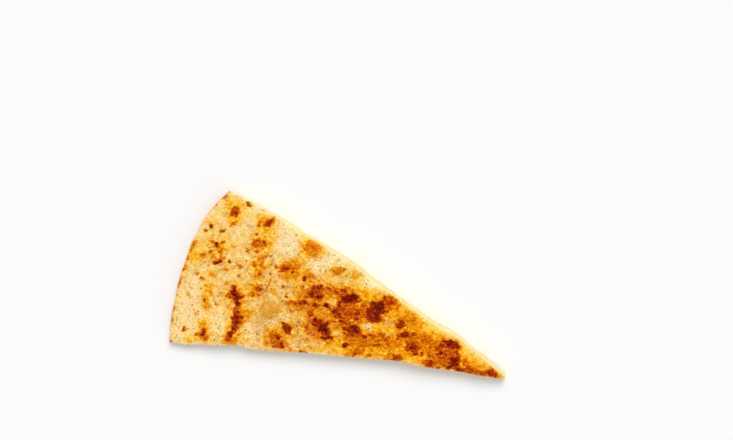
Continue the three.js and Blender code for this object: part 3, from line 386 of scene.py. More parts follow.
# Broad patches that are paler, darker or more golden than the rest:
# x, y, half length, half width, turn, change of toast, change of gold
# >>> patches
PATCHES = [
    (-12.2, 25.6, 7.4, 3.5, -11, -0.07, -0.25), (-35.2, 27.0, 8.1, 5.3, -58, -0.06, -0.30), (10.7, 21.8, 7.9, 2.3, -14, -0.09, -0.35), (-19.9, 20.7, 4.9, 4.0, 25, -0.02, -0.35),
    (-10.3, 17.6, 6.6, 2.3, 21, -0.05, -0.25), (10.1, 2.4, 2.7, 2.4, 28, -0.15, -0.40), (-7.2, 6.6, 2.5, 2.3, 33, -0.14, -0.40), (-1.6, -6.2, 1.9, 1.8, -88, -0.10, -0.40),
    (-9.2, -14.1, 3.6, 1.9, 22, -0.05, -0.20), (0.9, -10.7, 4.9, 3.3, 22, 0.02, 0.35), (4.7, 16.2, 4.9, 2.3, 10, 0.07, 0.50), (23.0, 16.2, 3.1, 3.0, -32, -0.03, 0.40),
    (33.4, 11.8, 4.9, 2.7, -6, -0.07, 0.30), (56.3, 5.8, 4.5, 2.6, -17, -0.09, 0.60), (62.5, 4.4, 3.1, 1.9, -15, 0.09, 0.60), (10.9, -9.5, 6.7, 3.3, 22, 0.04, 0.50),
    (21.6, -6.2, 6.7, 2.8, 23, 0.03, 0.40), (36.5, 4.7, 5.7, 3.1, 21, 0.10, 0.30), (0.9, 5.8, 9.8, 7.7, 26, 0.07, 0.20), (-33.0, -6.8, 5.0, 4.1, 29, 0.05, -0.60),
    (-63.7, -13.7, 14.2, 7.0, -74, -0.03, -0.15), (-39.4, -15.0, 5.6, 4.5, -78, -0.02, -0.20), (-60.6, -27.6, 5.8, 4.2, -81, -0.05, -0.20), (22.1, 3.0, 2.7, 2.4, 29, -0.05, -0.20),
    (42.9, 12.9, 4.9, 1.4, -13, -0.10, -0.10), (38.3, 10.2, 4.9, 2.3, -10, -0.14, 0.20), (35.9, -3.9, 4.0, 1.6, 13, -0.08, 0.30), (-27.6, -13.3, 1.9, 1.4, 57, -0.08, -0.10),
    (-31.9, 21.4, 4.0, 2.1, 21, -0.04, -0.20), (18.4, 6.7, 3.1, 1.9, 22, -0.03, -0.10), (47.4, -3.1, 3.1, 1.5, 9, -0.08, 0.30), (-1.3, -15.1, 13.4, 1.5, 16, 0.00, 0.45),
    (-59.9, 31.9, 8.8, 4.0, -2, -0.03, 0.10), (-51.5, -22.6, 6.1, 4.5, -76, -0.09, -0.15), (-65.6, -30.2, 4.2, 3.7, 39, -0.05, 0.00), (-53.4, 7.3, 3.6, 2.8, 26, 0.04, 0.10),
    (-68.1, 24.4, 2.7, 2.2, 27, 0.03, 0.10), (-73.1, 5.0, 5.6, 2.0, 84, 0.06, 0.35), (-12.4, 23.6, 2.4, 2.0, 26, -0.09, 0.00), (-23.9, 13.3, 3.1, 1.8, 23, 0.06, 0.10),
    (-28.3, -2.5, 2.3, 1.8, -73, 0.01, -0.10), (0.4, -5.1, 2.7, 1.2, 22, -0.07, 0.00), (-12.2, -9.7, 3.1, 1.4, 21, -0.06, -0.10), (4.6, -11.9, 2.2, 1.4, 22, -0.05, 0.10),
    (19.0, 3.8, 2.0, 1.9, 43, -0.11, -0.10), (4.0, 20.8, 5.7, 3.1, -12, -0.11, 0.00), (36.5, 0.8, 2.0, 1.8, 33, -0.09, 0.10), (27.1, -2.0, 4.1, 2.7, -71, -0.10, 0.10),
    (29.4, 2.2, 2.0, 1.2, 23, -0.08, 0.00), (49.8, 2.4, 1.3, 1.1, 14, -0.14, 0.10), (54.9, -0.5, 1.8, 1.2, 21, -0.13, 0.10), (53.5, 7.1, 2.7, 2.0, -18, -0.06, 0.20),
    (65.7, 2.2, 1.8, 1.2, -2, -0.06, 0.30), (30.4, -5.8, 2.0, 1.4, 25, -0.12, 0.10), (-62.0, -7.6, 3.0, 2.5, -81, 0.05, 0.55), (-60.6, -15.6, 2.3, 2.1, -89, 0.02, 0.50),
    (-59.5, -23.4, 3.1, 2.1, 30, -0.02, 0.50), (-42.4, -11.7, 2.6, 2.4, 77, 0.03, 0.50), (-62.1, -1.1, 4.5, 1.4, -71, 0.02, 0.35), (-61.3, -31.5, 4.3, 1.6, 25, -0.03, 0.30),
    (-58.9, 15.9, 3.6, 2.3, 24, 0.01, 0.25), (-65.9, 16.1, 1.8, 1.4, 25, 0.00, 0.25), (-47.2, 34.6, 2.4, 1.4, -7, 0.01, 0.40), (-46.8, 26.9, 3.1, 2.5, 24, 0.00, 0.30),
    (-43.8, 11.5, 4.0, 3.2, 25, 0.01, 0.25), (-46.1, 0.2, 3.3, 3.1, 79, 0.01, 0.25), (-70.4, 8.4, 5.1, 2.2, 84, 0.02, 0.30), (-48.2, -19.9, 2.6, 1.3, -72, 0.01, 0.15),
    (-43.3, -24.5, 2.0, 1.9, 34, 0.01, 0.30), (-65.4, 33.1, 4.1, 1.8, 51, 0.01, 0.15), (-3.3, 21.6, 2.6, 1.4, -10, -0.03, 0.35), (4.0, 18.1, 3.1, 1.9, 2, 0.00, 0.40),
    (7.1, 16.2, 3.3, 1.6, 12, 0.05, 0.50), (-3.8, 18.9, 2.2, 1.4, 23, -0.03, 0.10), (-27.7, 29.7, 2.6, 1.7, -11, 0.00, 0.50), (-34.4, 31.5, 2.4, 1.3, -9, 0.00, 0.45),
    (-26.0, 22.2, 3.1, 2.3, 23, 0.00, 0.25), (-40.8, 24.4, 4.5, 3.1, -73, 0.00, 0.25), (-27.6, 17.2, 2.8, 2.6, 78, -0.03, 0.40), (-25.8, 8.7, 3.6, 1.3, -71, 0.02, 0.35),
    (-7.6, 23.1, 2.9, 1.8, 2, -0.05, 0.15), (-6.3, -14.9, 2.9, 1.2, 21, 0.00, 0.40), (-0.6, -10.3, 2.9, 2.1, 22, 0.05, 0.35), (13.1, -10.4, 3.4, 1.4, 23, 0.02, 0.40),
    (20.5, -7.3, 2.9, 1.6, 23, 0.02, 0.40), (16.0, 1.6, 3.6, 2.6, 24, 0.00, 0.30), (59.1, 4.6, 6.7, 1.7, -22, -0.02, 0.60), (33.8, 11.0, 2.9, 1.6, -6, 0.05, 0.40),
    (23.4, 15.0, 3.8, 3.1, -15, -0.01, 0.50), (29.0, 12.6, 2.7, 1.8, -13, 0.00, 0.30), (37.4, 9.9, 2.9, 2.1, -11, 0.00, 0.30), (42.3, 9.4, 1.8, 1.1, -10, 0.00, 0.40),
    (36.6, -4.7, 4.4, 1.4, 13, 0.00, 0.40), (30.4, -4.3, 2.7, 1.4, 22, 0.00, 0.30), (-70.3, 3.6, 3.2, 1.8, -59, 0.09, 0.20), (5.6, 5.7, 2.2, 1.4, 22, 0.12, 0.10),
    (-27.6, -4.7, 1.4, 1.3, -87, 0.05, 0.00), (-59.4, 5.4, 3.9, 2.9, -77, 0.02, -0.35), (-56.4, -6.7, 2.3, 2.1, 35, 0.02, -0.40), (-69.3, -4.0, 2.8, 1.8, -74, 0.00, -0.30),
    (-69.5, -13.6, 1.8, 1.6, 36, 0.00, -0.25), (-53.4, 26.8, 5.8, 1.8, -61, 0.00, -0.25), (-50.5, 14.8, 1.8, 1.3, -74, 0.02, -0.40), (-38.5, 9.1, 3.1, 2.3, 23, -0.01, -0.40),
    (-38.3, 15.6, 3.0, 1.3, -72, 0.00, -0.35), (-37.1, 0.8, 4.6, 2.9, -73, 0.02, -0.45), (-31.7, 5.9, 5.0, 2.0, -71, 0.02, -0.40), (-35.4, -15.4, 3.8, 2.7, -76, 0.10, -0.45),
    (-35.2, -21.9, 2.1, 2.0, 85, 0.01, -0.30), (-49.8, 4.8, 3.6, 1.9, 22, 0.00, -0.20), (-25.7, 4.3, 3.2, 1.3, -71, 0.02, -0.30), (-31.1, 24.6, 1.6, 1.5, 87, 0.00, -0.30),
    (-35.3, 21.1, 3.3, 2.5, 23, 0.00, -0.25), (-20.9, 22.2, 4.4, 3.6, 24, -0.05, -0.25), (-17.3, -11.2, 6.1, 1.8, -71, 0.07, -0.35), (-22.2, 8.4, 2.2, 1.4, 23, -0.04, -0.20),
    (-29.3, -9.3, 3.1, 2.4, 25, -0.04, -0.30), (-12.1, -11.2, 2.3, 2.2, 89, -0.02, -0.25), (-2.0, -7.8, 2.2, 1.4, 22, 0.00, -0.30), (9.8, 2.3, 2.9, 1.7, 22, -0.02, -0.25),
    (15.6, 4.1, 2.2, 1.2, 23, -0.02, -0.20), (23.9, 3.2, 2.4, 1.8, -73, -0.04, -0.20), (19.8, 8.2, 2.2, 1.9, 24, -0.05, -0.25), (63.5, 5.3, 2.7, 1.5, -18, 0.10, 0.20),
    (53.6, 0.3, 1.5, 1.4, 17, -0.07, 0.00), (-33.2, 15.6, 4.0, 1.8, -16, -0.07, 0.00), (-45.4, -26.8, 2.8, 1.6, 54, -0.07, 0.00), (-45.4, -13.9, 2.0, 1.6, -10, -0.08, 0.00),
    (-0.1, 13.8, 1.6, 1.4, 29, -0.10, 0.00), (-5.0, 10.4, 1.8, 1.6, 28, -0.09, 0.00), (-12.9, -18.6, 2.3, 1.0, 23, 0.07, 0.00), (-51.8, -2.0, 1.6, 1.5, 82, -0.08, 0.00),
    (-57.2, -26.0, 1.8, 1.6, 70, -0.07, 0.00), (-60.0, -0.2, 2.1, 1.8, 33, 0.06, 0.00), (-54.1, 6.6, 2.0, 1.6, 27, 0.06, 0.00), (-13.8, 10.0, 1.8, 1.6, 28, -0.07, 0.00),
    (40.4, 1.9, 1.8, 1.6, 28, 0.07, 0.00), (20.3, 11.9, 2.0, 1.6, 21, -0.06, 0.00), (-61.1, 32.8, 1.6, 1.3, 26, -0.06, 0.00),
]
# <<< patches

# The underside lay on the pan too: its marks are scattered ones.
_rng = np.random.default_rng(77)
UNDER_MARKS = []
for _ in range(150):
    _x = 74 - 148 * _rng.uniform() ** 0.75
    _half = 36 * (75 - _x) / 150
    _size = 0.9 + 3.4 * _rng.uniform() ** 2.6
    UNDER_MARKS.append((_x, _rng.uniform(-1, 1) * _half, _size * _rng.uniform(1.0, 1.9), _size, _rng.uniform(-90, 90),
                        _rng.uniform(0.42, 0.86), _rng.uniform(0.3, 0.7)))


def ovals(x, y, rows, wobble):
    """The darkest mark at each point as (share, depth), and the golden warmth around all of them."""
    share = np.zeros_like(x)
    deep = np.zeros_like(x)
    warm = np.zeros_like(x)
    for mx, my, a, b, turn, depth, halo in rows:
        near = np.nonzero((np.abs(x - mx) < a + 6) & (np.abs(y - my) < a + 6))[0]
        if not len(near):
            continue
        dx, dy = x[near] - mx, y[near] - my
        c, s = math.cos(turn * DEG), math.sin(turn * DEG)
        u, v = (dx * c + dy * s) / a, (dy * c - dx * s) / b
        q = np.maximum(np.hypot(u, v), 1e-3)
        r = np.hypot(dx, dy)
        out = r - r / q                     # about how far outside the oval, in mm
        out = np.where(r < 1e-3, -b, out) + wobble[near] * min(1.0, 0.35 + 0.35 * b)
        soft = 0.85 + 0.50 * b
        k = smooth(0.62 - out / soft)
        now = depth * k
        better = now > share[near] * deep[near]
        ids = near[better]
        share[ids], deep[ids] = k[better], depth
        warm[near] += (0.12 + halo) * np.exp(-np.maximum(out, 0) / (1.0 + 0.35 * b))
    return share, deep, warm


def patches(x, y, rows):
    toast, gold = np.zeros_like(x), np.zeros_like(x)
    for mx, my, a, b, turn, d_toast, d_gold in rows:
        c, s = math.cos(turn * DEG), math.sin(turn * DEG)
        dx, dy = x - mx, y - my
        q2 = ((dx * c + dy * s) / a) ** 2 + ((dy * c - dx * s) / b) ** 2
        k = np.exp(-0.9 * q2 ** 1.3)
        toast += d_toast * k
        gold += d_gold * k
    return toast, gold


def browning(x, y, rows, rough_patches, seed, ground, gilt, grit=1.0, halo_spots=0.14):
    """Toast from 0 (raw dough) to 1 (black), and gold from 0 (creamy) to 1 (oil-fried)."""
    wx = x + 0.55 * noise(x, y, 2.6, seed) + 0.22 * noise(x, y, 1.1, seed + 1)
    wy = y + 0.55 * noise(x, y, 2.6, seed + 2) + 0.22 * noise(x, y, 1.1, seed + 3)
    wobble = 0.50 * noise(x, y, 2.0, seed + 4) + 0.42 * noise(x, y, 0.9, seed + 5)
    share, deep, warm = ovals(wx, wy, rows, wobble)
    d_toast, d_gold = patches(wx, wy, rough_patches)
    fine = 0.55 * noise(x, y, 1.25, seed + 6) + 0.45 * noise(x, y, 0.7, seed + 7)
    coarse = fbm(x, y, 6.5, seed + 8, 3)
    warm = 1 - np.exp(-warm / 0.85)
    speckle = 0.75 * noise(x, y, 0.95, seed + 10) + 0.5 * noise(x, y, 2.1, seed + 11)
    base = ground + d_toast + 0.05 * coarse + 0.21 * warm * (1 + 0.5 * noise(x, y, 3.1, seed + 13))
    base = base * (1 + grit * (0.55 * fine + 0.32 * noise(x, y, 2.4, seed + 9)))
    base += halo_spots * warm ** 1.5 * smooth((speckle - 0.02) / 0.7)
    uneven = mix(0.70, 0.32, smooth((deep - 0.42) / 0.40)) * speckle
    core = (np.minimum(deep * 1.13, 1.04) - base) * share * (1 + uneven) + 0.06 * speckle * smooth(share * 2)
    # dark threads run through what is browned, mostly along one way
    u, v = x * 0.94 + y * 0.34, y * 0.94 - x * 0.34
    threads = smooth(1 - np.abs(fbm(u * 0.62, v, 2.3, seed + 20, 2)) / 0.26)
    core = core + 0.17 * smooth(warm * 1.5 - 0.25) * (threads - 0.42) * (1 - 0.55 * share * deep)
    toast = np.maximum(base + core, 0.015)
    gold = clamp(gilt + d_gold + 0.85 * warm + 0.58 * fbm(x, y, 3.8, seed + 12, 2) + 0.30 * noise(x, y, 1.8, seed + 14))
    return toast, gold, share * deep, warm


# ------------------------------------------------------------------------------
# Fine layer meshes
# ------------------------------------------------------------------------------
def plan_rows(pitch, full):
    """Distances from the cut centre, rim first, with the number of columns of each row."""
    rows, rho, columns = [], RIM_RADIUS - RIM_BULGE, full
    nose = float(nose_radius(0.0))
    stop = [76.2, 38.1, 19.05, 9.5, -1]
    k = 0
    while rho > nose:
        if rho < stop[k]:
            columns //= 2
            k += 1
        rows.append((rho, columns))
        step = pitch * (1.0 if rho > 9.5 else 0.45 + 0.55 * rho / 9.5)
        rho -= step
    rows.append((nose, columns))
    return rows


def in_plan(rho, t, side_shift, rim_at, rim_bulge):
    """Plan points of a row. rho is its distance on the middle line."""
    phi = t * HALF_ANGLE
    nose0, rim0 = float(nose_radius(0.0)), RIM_RADIUS - RIM_BULGE
    g = (rho - nose0) / (rim0 - nose0)
    r = mix(nose_radius(phi), rim_at(phi) - rim_bulge, g)
    s = clamp(r / RIM_RADIUS)
    side = np.sign(t) * side_shift(s, np.sign(t)) * np.abs(t) ** 8 * smooth(r / 12)
    x = -r * np.cos(phi) + CENTRE[0]
    y = r * np.sin(phi) + bow(s, t) + side + CENTRE[1]
    return x, y, r, phi


class Layer:
    """One closed layer: a fine face, a fine edge round it, and a plain hidden face."""

    def __init__(self, pitch, columns, side_shift, rim_at, rim_bulge):
        self.rows = plan_rows(pitch, columns)
        xs, ys, rs, ps, ts, self.start = [], [], [], [], [], []
        n = 0
        for rho, cols in self.rows:
            t = np.linspace(-1, 1, cols + 1)
            x, y, r, phi = in_plan(rho, t, side_shift, rim_at, rim_bulge)
            self.start.append(n)
            n += cols + 1
            xs.append(x), ys.append(y), rs.append(r), ps.append(phi), ts.append(t)
        self.x, self.y, self.rho, self.phi, self.t = (np.concatenate(v) for v in (xs, ys, rs, ps, ts))
        self.n = n
        self.faces = self._grid()
        # the ring of border points: nose, +Y cut, rim, -Y cut, anticlockwise from above on this plan
        last = len(self.rows) - 1
        ring = [self.start[last] + j for j in range(self.rows[last][1])]
        ring += [self.start[i] + self.rows[i][1] for i in range(last, 0, -1)]
        ring += [self.start[0] + j for j in range(self.rows[0][1], 0, -1)]
        ring += [self.start[i] for i in range(0, last)]
        self.ring = np.array(ring)
        rim_share = np.zeros(n)
        rim_share[self.start[0]:self.start[0] + self.rows[0][1] + 1] = 1
        self.rim_share = rim_share[self.ring]

    def _grid(self):
        out = []
        for i in range(len(self.rows) - 1):
            a, na = self.start[i], self.rows[i][1]
            b, nb = self.start[i + 1], self.rows[i + 1][1]
            if na == nb:
                j = np.arange(na)
                # rim side is -X: wound to face up
                out.append(np.stack([a + j, a + j + 1, b + j + 1], 1)[:, ::-1])
                out.append(np.stack([a + j, b + j + 1, b + j], 1)[:, ::-1])
            else:
                j = np.arange(nb)
                f = a + 2 * j
                out.append(np.stack([f, f + 1, b + j], 1)[:, ::-1])
                out.append(np.stack([f + 1, b + j + 1, b + j], 1)[:, ::-1])
                out.append(np.stack([f + 1, f + 2, b + j + 1], 1)[:, ::-1])
        return np.concatenate(out)

    def outward(self):
        """Unit outward directions in plan along the ring, and the length along it."""
        p = np.stack([self.x[self.ring], self.y[self.ring]], 1)
        ahead = np.roll(p, -1, 0) - p
        arc = np.r_[0, np.cumsum(np.hypot(ahead[:, 0], ahead[:, 1]))]
        h = np.roll(p, -1, 0) - np.roll(p, 1, 0)
        for _ in range(3):
            h = h / np.maximum(np.linalg.norm(h, axis=1), 1e-9)[:, None]
            h = (np.roll(h, 1, 0) + 2 * h + np.roll(h, -1, 0)) / 4
        h = h / np.maximum(np.linalg.norm(h, axis=1), 1e-9)[:, None]
        return np.stack([h[:, 1], -h[:, 0]], 1), arc


def soften(values, times):
    for _ in range(times):
        values = (np.roll(values, 1, 0) + 2 * values + np.roll(values, -1, 0)) / 4
    return values


def build(name, layer, z_face, face_up, z_far, bulge, power, loops, ripple, attributes, wall_values, material, sag=0.0):
    """Makes the closed mesh of a layer.

    z_face, z_far  heights of the fine face and of the hidden one, at every plan point
    bulge          how far the edge swells outwards, along the ring
    power          2 for a round edge, more for a squarer one, along the ring
    ripple(arc, f) unevenness of the edge outwards, in mm
    sag            how far the edge hangs down, along the ring, in mm
    attributes     values on the fine face; wall_values(arc, f, ring values) on the edge
    """
    ring, count = layer.ring, len(layer.ring)
    out, arc = layer.outward()
    x, y = [layer.x], [layer.y]
    z = [z_face]
    fields = {k: [v] for k, v in attributes.items()}
    faces = [layer.faces if face_up else layer.faces[:, ::-1]]
    n = layer.n
    rx, ry, rz, rf = layer.x[ring], layer.y[ring], z_face[ring], z_far[ring]
    previous = ring
    ids = np.arange(count)
    walls = []
    shares = [(1 - math.cos(math.pi * k / loops)) / 2 for k in range(1, loops)]
    for f in shares + [1.0]:
        e = np.full(count, f)
        w = bulge * np.maximum(0, 1 - np.abs(2 * e - 1) ** power) ** (1 / power)
        w = w + ripple(arc[:-1], e) * np.minimum(1, 4.5 * np.minimum(e, 1 - e))
        x.append(rx + out[:, 0] * w), y.append(ry + out[:, 1] * w), z.append(mix(rz, rf, e) - sag * np.sin(math.pi * f ** 1.7))
        for k, v in wall_values(arc[:-1], e, {q: fields[q][0][ring] for q in fields}).items():
            fields[k].append(v)
        current = n + ids
        nxt = np.roll(ids, -1)
        quad = [previous, current, current[nxt], previous[nxt]]
        walls.append((quad, f))
        n += count
        previous = current
    # hidden face: the border ring and a few points inside it
    bx, by = x[-1], y[-1]
    pts = [Vector((float(a), float(b))) for a, b in zip(bx, by)]
    edges = [(k, (k + 1) % count) for k in range(count)]
    hidden_z = list(z[-1])
    inner = []
    for rho, cols in layer.rows[6::14]:
        if rho < 8:
            continue
        t = np.linspace(-1, 1, max(3, int(rho / 4.5)) + 1)[1:-1]
        px, py, r, phi = in_plan(rho, t, lambda s, d: 0 * s, rim_radius, RIM_BULGE)
        inner += [(float(a), float(b), float(c), float(d), float(q)) for a, b, c, d, q in zip(px, py, r, phi, t)]
    start_inner = len(pts)
    pts += [Vector((a, b)) for a, b, *_ in inner]
    co, _, tri, source, *_ = delaunay_2d_cdt(pts, edges, [list(range(count))], 1, 1e-5)
    assert len(co) == len(pts), (name, len(co), len(pts))
    lv = levels(np.array([c[2] for c in inner]), np.array([c[3] for c in inner]), np.array([c[4] for c in inner]))
    which = {"tortilla_top": "top_under", "tortilla_bottom": "bottom_top", "cheese": "cheese_bottom"}[name]
    far_inner = lv[which] + (-LAYER_GAP if name == "cheese" else 0.0)
    # ids of the triangulation's points, which may come back in another order
    back = {}
    for k, s in enumerate(source):
        back[k] = s[0]
    inner_ids = {}
    hid_faces = []
    extra = 0
    ex, ey, ez = [], [], []
    for f3 in tri:
        v = []
        for q in f3:
            p = back[q]
            if p < count:
                v.append(int(previous[p]))
            else:
                if p not in inner_ids:
                    inner_ids[p] = n + extra
                    extra += 1
                    ex.append(inner[p - start_inner][0]), ey.append(inner[p - start_inner][1])
                    ez.append(float(far_inner[p - start_inner]))
                v.append(inner_ids[p])
        hid_faces.append(v)
    hid_faces = np.array(hid_faces)
    # wind the hidden face away from the fine one
    allx, ally = np.concatenate(x + [np.array(ex)]), np.concatenate(y + [np.array(ey)])
    allz = np.concatenate(z + [np.array(ez)])
    a, b, c = (hid_faces[:, k] for k in range(3))
    area = (allx[b] - allx[a]) * (ally[c] - ally[a]) - (allx[c] - allx[a]) * (ally[b] - ally[a])
    want = -1 if face_up else 1
    flip = np.sign(area) != want
    hid_faces[flip] = hid_faces[flip][:, ::-1]
    for k in fields:
        fields[k].append(np.full(extra, 0.3 if k == "toast" else 0.5))
    wall_faces, wall_uv = [], []
    strips = 3
    total = arc[-1]
    for quad, f in walls:
        q = np.stack(quad, 1)
        # anticlockwise seen from outside
        w = q if face_up else q[:, ::-1]
        wall_faces.append(w)
    wall_faces = np.concatenate(wall_faces)
    f_levels = [0.0] + shares + [1.0]
    verts = np.stack([allx, ally, allz], 1) * MM
    me = bpy.data.meshes.new(name)
    polys = [faces[0], hid_faces]
    loops_flat = np.concatenate([faces[0].ravel(), hid_faces.ravel(), wall_faces.ravel()]).astype(np.int32)
    sizes = np.concatenate([np.full(len(faces[0]) + len(hid_faces), 3), np.full(len(wall_faces), 4)])
    starts = np.r_[0, np.cumsum(sizes)[:-1]].astype(np.int32)
    me.vertices.add(len(verts))
    me.vertices.foreach_set("co", verts.astype(np.float32).ravel())
    me.loops.add(len(loops_flat))
    me.loops.foreach_set("vertex_index", loops_flat)
    me.polygons.add(len(sizes))
    me.polygons.foreach_set("loop_start", starts)
    me.update(calc_edges=True)
    me.polygons.foreach_set("use_smooth", np.ones(len(sizes), bool))
    for k, v in fields.items():
        at = me.attributes.new(k, "FLOAT", "POINT")
        at.data.foreach_set("value", np.concatenate(v).astype(np.float32))
    # a flat map: the fine face as seen from above, the edge unrolled in strips, the hidden face below
    side = 1 / 153.0
    ux, uy = (allx + 76.5) * side, (ally + 38.2) * side
    uv = np.zeros((len(loops_flat), 2))
    k1 = faces[0].size
    k2 = k1 + hid_faces.size
    v1 = loops_flat[:k1]
    uv[:k1] = np.stack([ux[v1], 0.5 + uy[v1] * 0.995], 1)
    v2 = loops_flat[k1:k2]
    uv[k1:k2] = np.stack([ux[v2], 0.115 + uy[v2] * 0.74], 1)
    seg = np.arange(count)
    per = math.ceil(count / strips)
    strip = seg // per
    u_of = []
    for k in range(strips):
        first, end = k * per, min((k + 1) * per, count)
        u_of.append((arc[first], arc[end]))
    at_uv = k2
    blocks = []
    for level in range(len(f_levels) - 1):
        f0, f1 = f_levels[level], f_levels[level + 1]
        lo = np.array([u_of[k][0] for k in strip])
        hi = np.array([u_of[k][1] for k in strip])
        ua = 0.004 + 0.992 * (arc[seg] - lo) / (hi - lo)
        ub = 0.004 + 0.992 * (arc[seg + 1] - lo) / (hi - lo)
        v0 = 0.004 + strip * 0.036 + 0.030 * f0
        v_1 = 0.004 + strip * 0.036 + 0.030 * f1
        corner = np.stack([np.stack([ua, v0], 1), np.stack([ua, v_1], 1), np.stack([ub, v_1], 1), np.stack([ub, v0], 1)], 1)
        if not face_up:
            corner = corner[:, ::-1]
        blocks.append(corner.reshape(-1, 2))
    uv[at_uv:] = np.concatenate(blocks)
    layer_uv = me.uv_layers.new(name="OFBake")
    layer_uv.uv.foreach_set("vector", uv.astype(np.float32).ravel())
    me.validate(clean_customdata=False)
    me.materials.append(material)
    ob = bpy.data.objects.new(name, me)
    bpy.context.scene.collection.objects.link(ob)
    tris = len(faces[0]) + len(hid_faces) + 2 * len(wall_faces)
    print(name, "triangles", tris)
    return ob


# ------------------------------------------------------------------------------
# Materials
# ------------------------------------------------------------------------------
def lin(r, g, b):
    def one(c):
        c /= 255
        return c / 12.92 if c <= 0.04045 else ((c + 0.055) / 1.055) ** 2.4
    return (one(r), one(g), one(b), 1.0)


class Nodes:
    """A short way to write a material's nodes."""

    def __init__(self, name):
        self.mat = bpy.data.materials.new(name)
        self.mat.use_nodes = True
        self.nt = self.mat.node_tree
        self.shader = self.nt.nodes["Principled BSDF"]
        self.place = self.nt.nodes.new("ShaderNodeTexCoord").outputs["Object"]

    def link(self, a, b):
        self.nt.links.new(a, b)

    def attribute(self, name):
        n = self.nt.nodes.new("ShaderNodeAttribute")
        n.attribute_type = "GEOMETRY"
        n.attribute_name = name
        return n.outputs["Fac"]

    def noise(self, size_mm, detail=2.0, roughness=0.5, distortion=0.0, stretch=None):
        place = self.place
        if stretch:
            m = self.nt.nodes.new("ShaderNodeMapping")
            m.inputs["Scale"].default_value = stretch
            self.link(place, m.inputs["Vector"])
            place = m.outputs["Vector"]
        n = self.nt.nodes.new("ShaderNodeTexNoise")
        n.inputs["Scale"].default_value = 1000.0 / size_mm
        n.inputs["Detail"].default_value = detail
        n.inputs["Roughness"].default_value = roughness
        n.inputs["Distortion"].default_value = distortion
        self.link(place, n.inputs["Vector"])
        return n.outputs["Fac"]

    def voronoi(self, size_mm, randomness=1.0, feature="F1"):
        n = self.nt.nodes.new("ShaderNodeTexVoronoi")
        n.feature = feature
        n.inputs["Scale"].default_value = 1000.0 / size_mm
        n.voronoi_dimensions = "2D"
        n.inputs["Randomness"].default_value = randomness
        self.link(self.place, n.inputs["Vector"])
        return n

    def math(self, op, a, b=None, c=None, limit=False):
        n = self.nt.nodes.new("ShaderNodeMath")
        n.operation = op
        n.use_clamp = limit
        for socket, value in zip(n.inputs, (a, b, c)):
            if value is None:
                continue
            if isinstance(value, (int, float)):
                socket.default_value = value
            else:
                self.link(value, socket)
        return n.outputs[0]

    def remap(self, value, a, b, c, d, kind="SMOOTHSTEP"):
        n = self.nt.nodes.new("ShaderNodeMapRange")
        n.interpolation_type = kind
        self.link(value, n.inputs["Value"])
        for socket, v in zip(list(n.inputs)[1:5], (a, b, c, d)):
            socket.default_value = v
        return n.outputs["Result"]

    def ramp(self, value, stops):
        n = self.nt.nodes.new("ShaderNodeValToRGB")
        e = n.color_ramp.elements
        while len(e) > 1:
            e.remove(e[-1])
        e[0].position, e[0].color = stops[0][0], lin(*stops[0][1])
        for p, c in stops[1:]:
            e.new(p).color = lin(*c)
        self.link(value, n.inputs["Fac"])
        return n.outputs["Color"]

    def blend(self, fac, a, b, kind="MIX"):
        n = self.nt.nodes.new("ShaderNodeMix")
        n.data_type = "RGBA"
        n.blend_type = kind
        if isinstance(fac, (int, float)):
            n.inputs["Factor"].default_value = fac
        else:
            self.link(fac, n.inputs["Factor"])
        sockets = [s for s in n.inputs if s.type == "RGBA"]
        for socket, value in zip(sockets, (a, b)):
            if isinstance(value, tuple):
                socket.default_value = value
            else:
                self.link(value, socket)
        return [s for s in n.outputs if s.type == "RGBA"][0]

    def bump(self, height, distance_mm, strength=1.0, before=None):
        n = self.nt.nodes.new("ShaderNodeBump")
        n.inputs["Strength"].default_value = strength
        n.inputs["Distance"].default_value = distance_mm * MM
        self.link(height, n.inputs["Height"])
        if before is not None:
            self.link(before, n.inputs["Normal"])
        return n.outputs["Normal"]


# Toast, from raw dough to scorched: with oil, and dry
GOLDEN = [(0.00, (255, 234, 150)), (0.05, (254, 226, 130)), (0.10, (253, 214, 100)), (0.16, (252, 201, 63)), (0.23, (249, 181, 22)),
          (0.30, (242, 162, 5)), (0.38, (231, 141, 1)), (0.50, (212, 110, 1)), (0.63, (190, 76, 1)), (0.76, (160, 44, 1)),
          (0.89, (122, 19, 1)), (1.00, (76, 7, 2))]
CREAMY = [(0.00, (253, 241, 208)), (0.05, (252, 230, 182)), (0.10, (250, 218, 160)), (0.16, (244, 201, 134)), (0.23, (234, 185, 109)),
          (0.30, (223, 168, 88)), (0.38, (214, 149, 62)), (0.50, (205, 115, 27)), (0.63, (188, 77, 12)), (0.76, (154, 46, 8)),
          (0.89, (116, 22, 5)), (1.00, (70, 10, 6))]
CRUMB = [(0.00, (252, 235, 196)), (0.12, (248, 220, 163)), (0.25, (239, 197, 120)), (0.45, (217, 150, 66)), (0.7, (162, 82, 25)), (1.0, (90, 34, 10))]


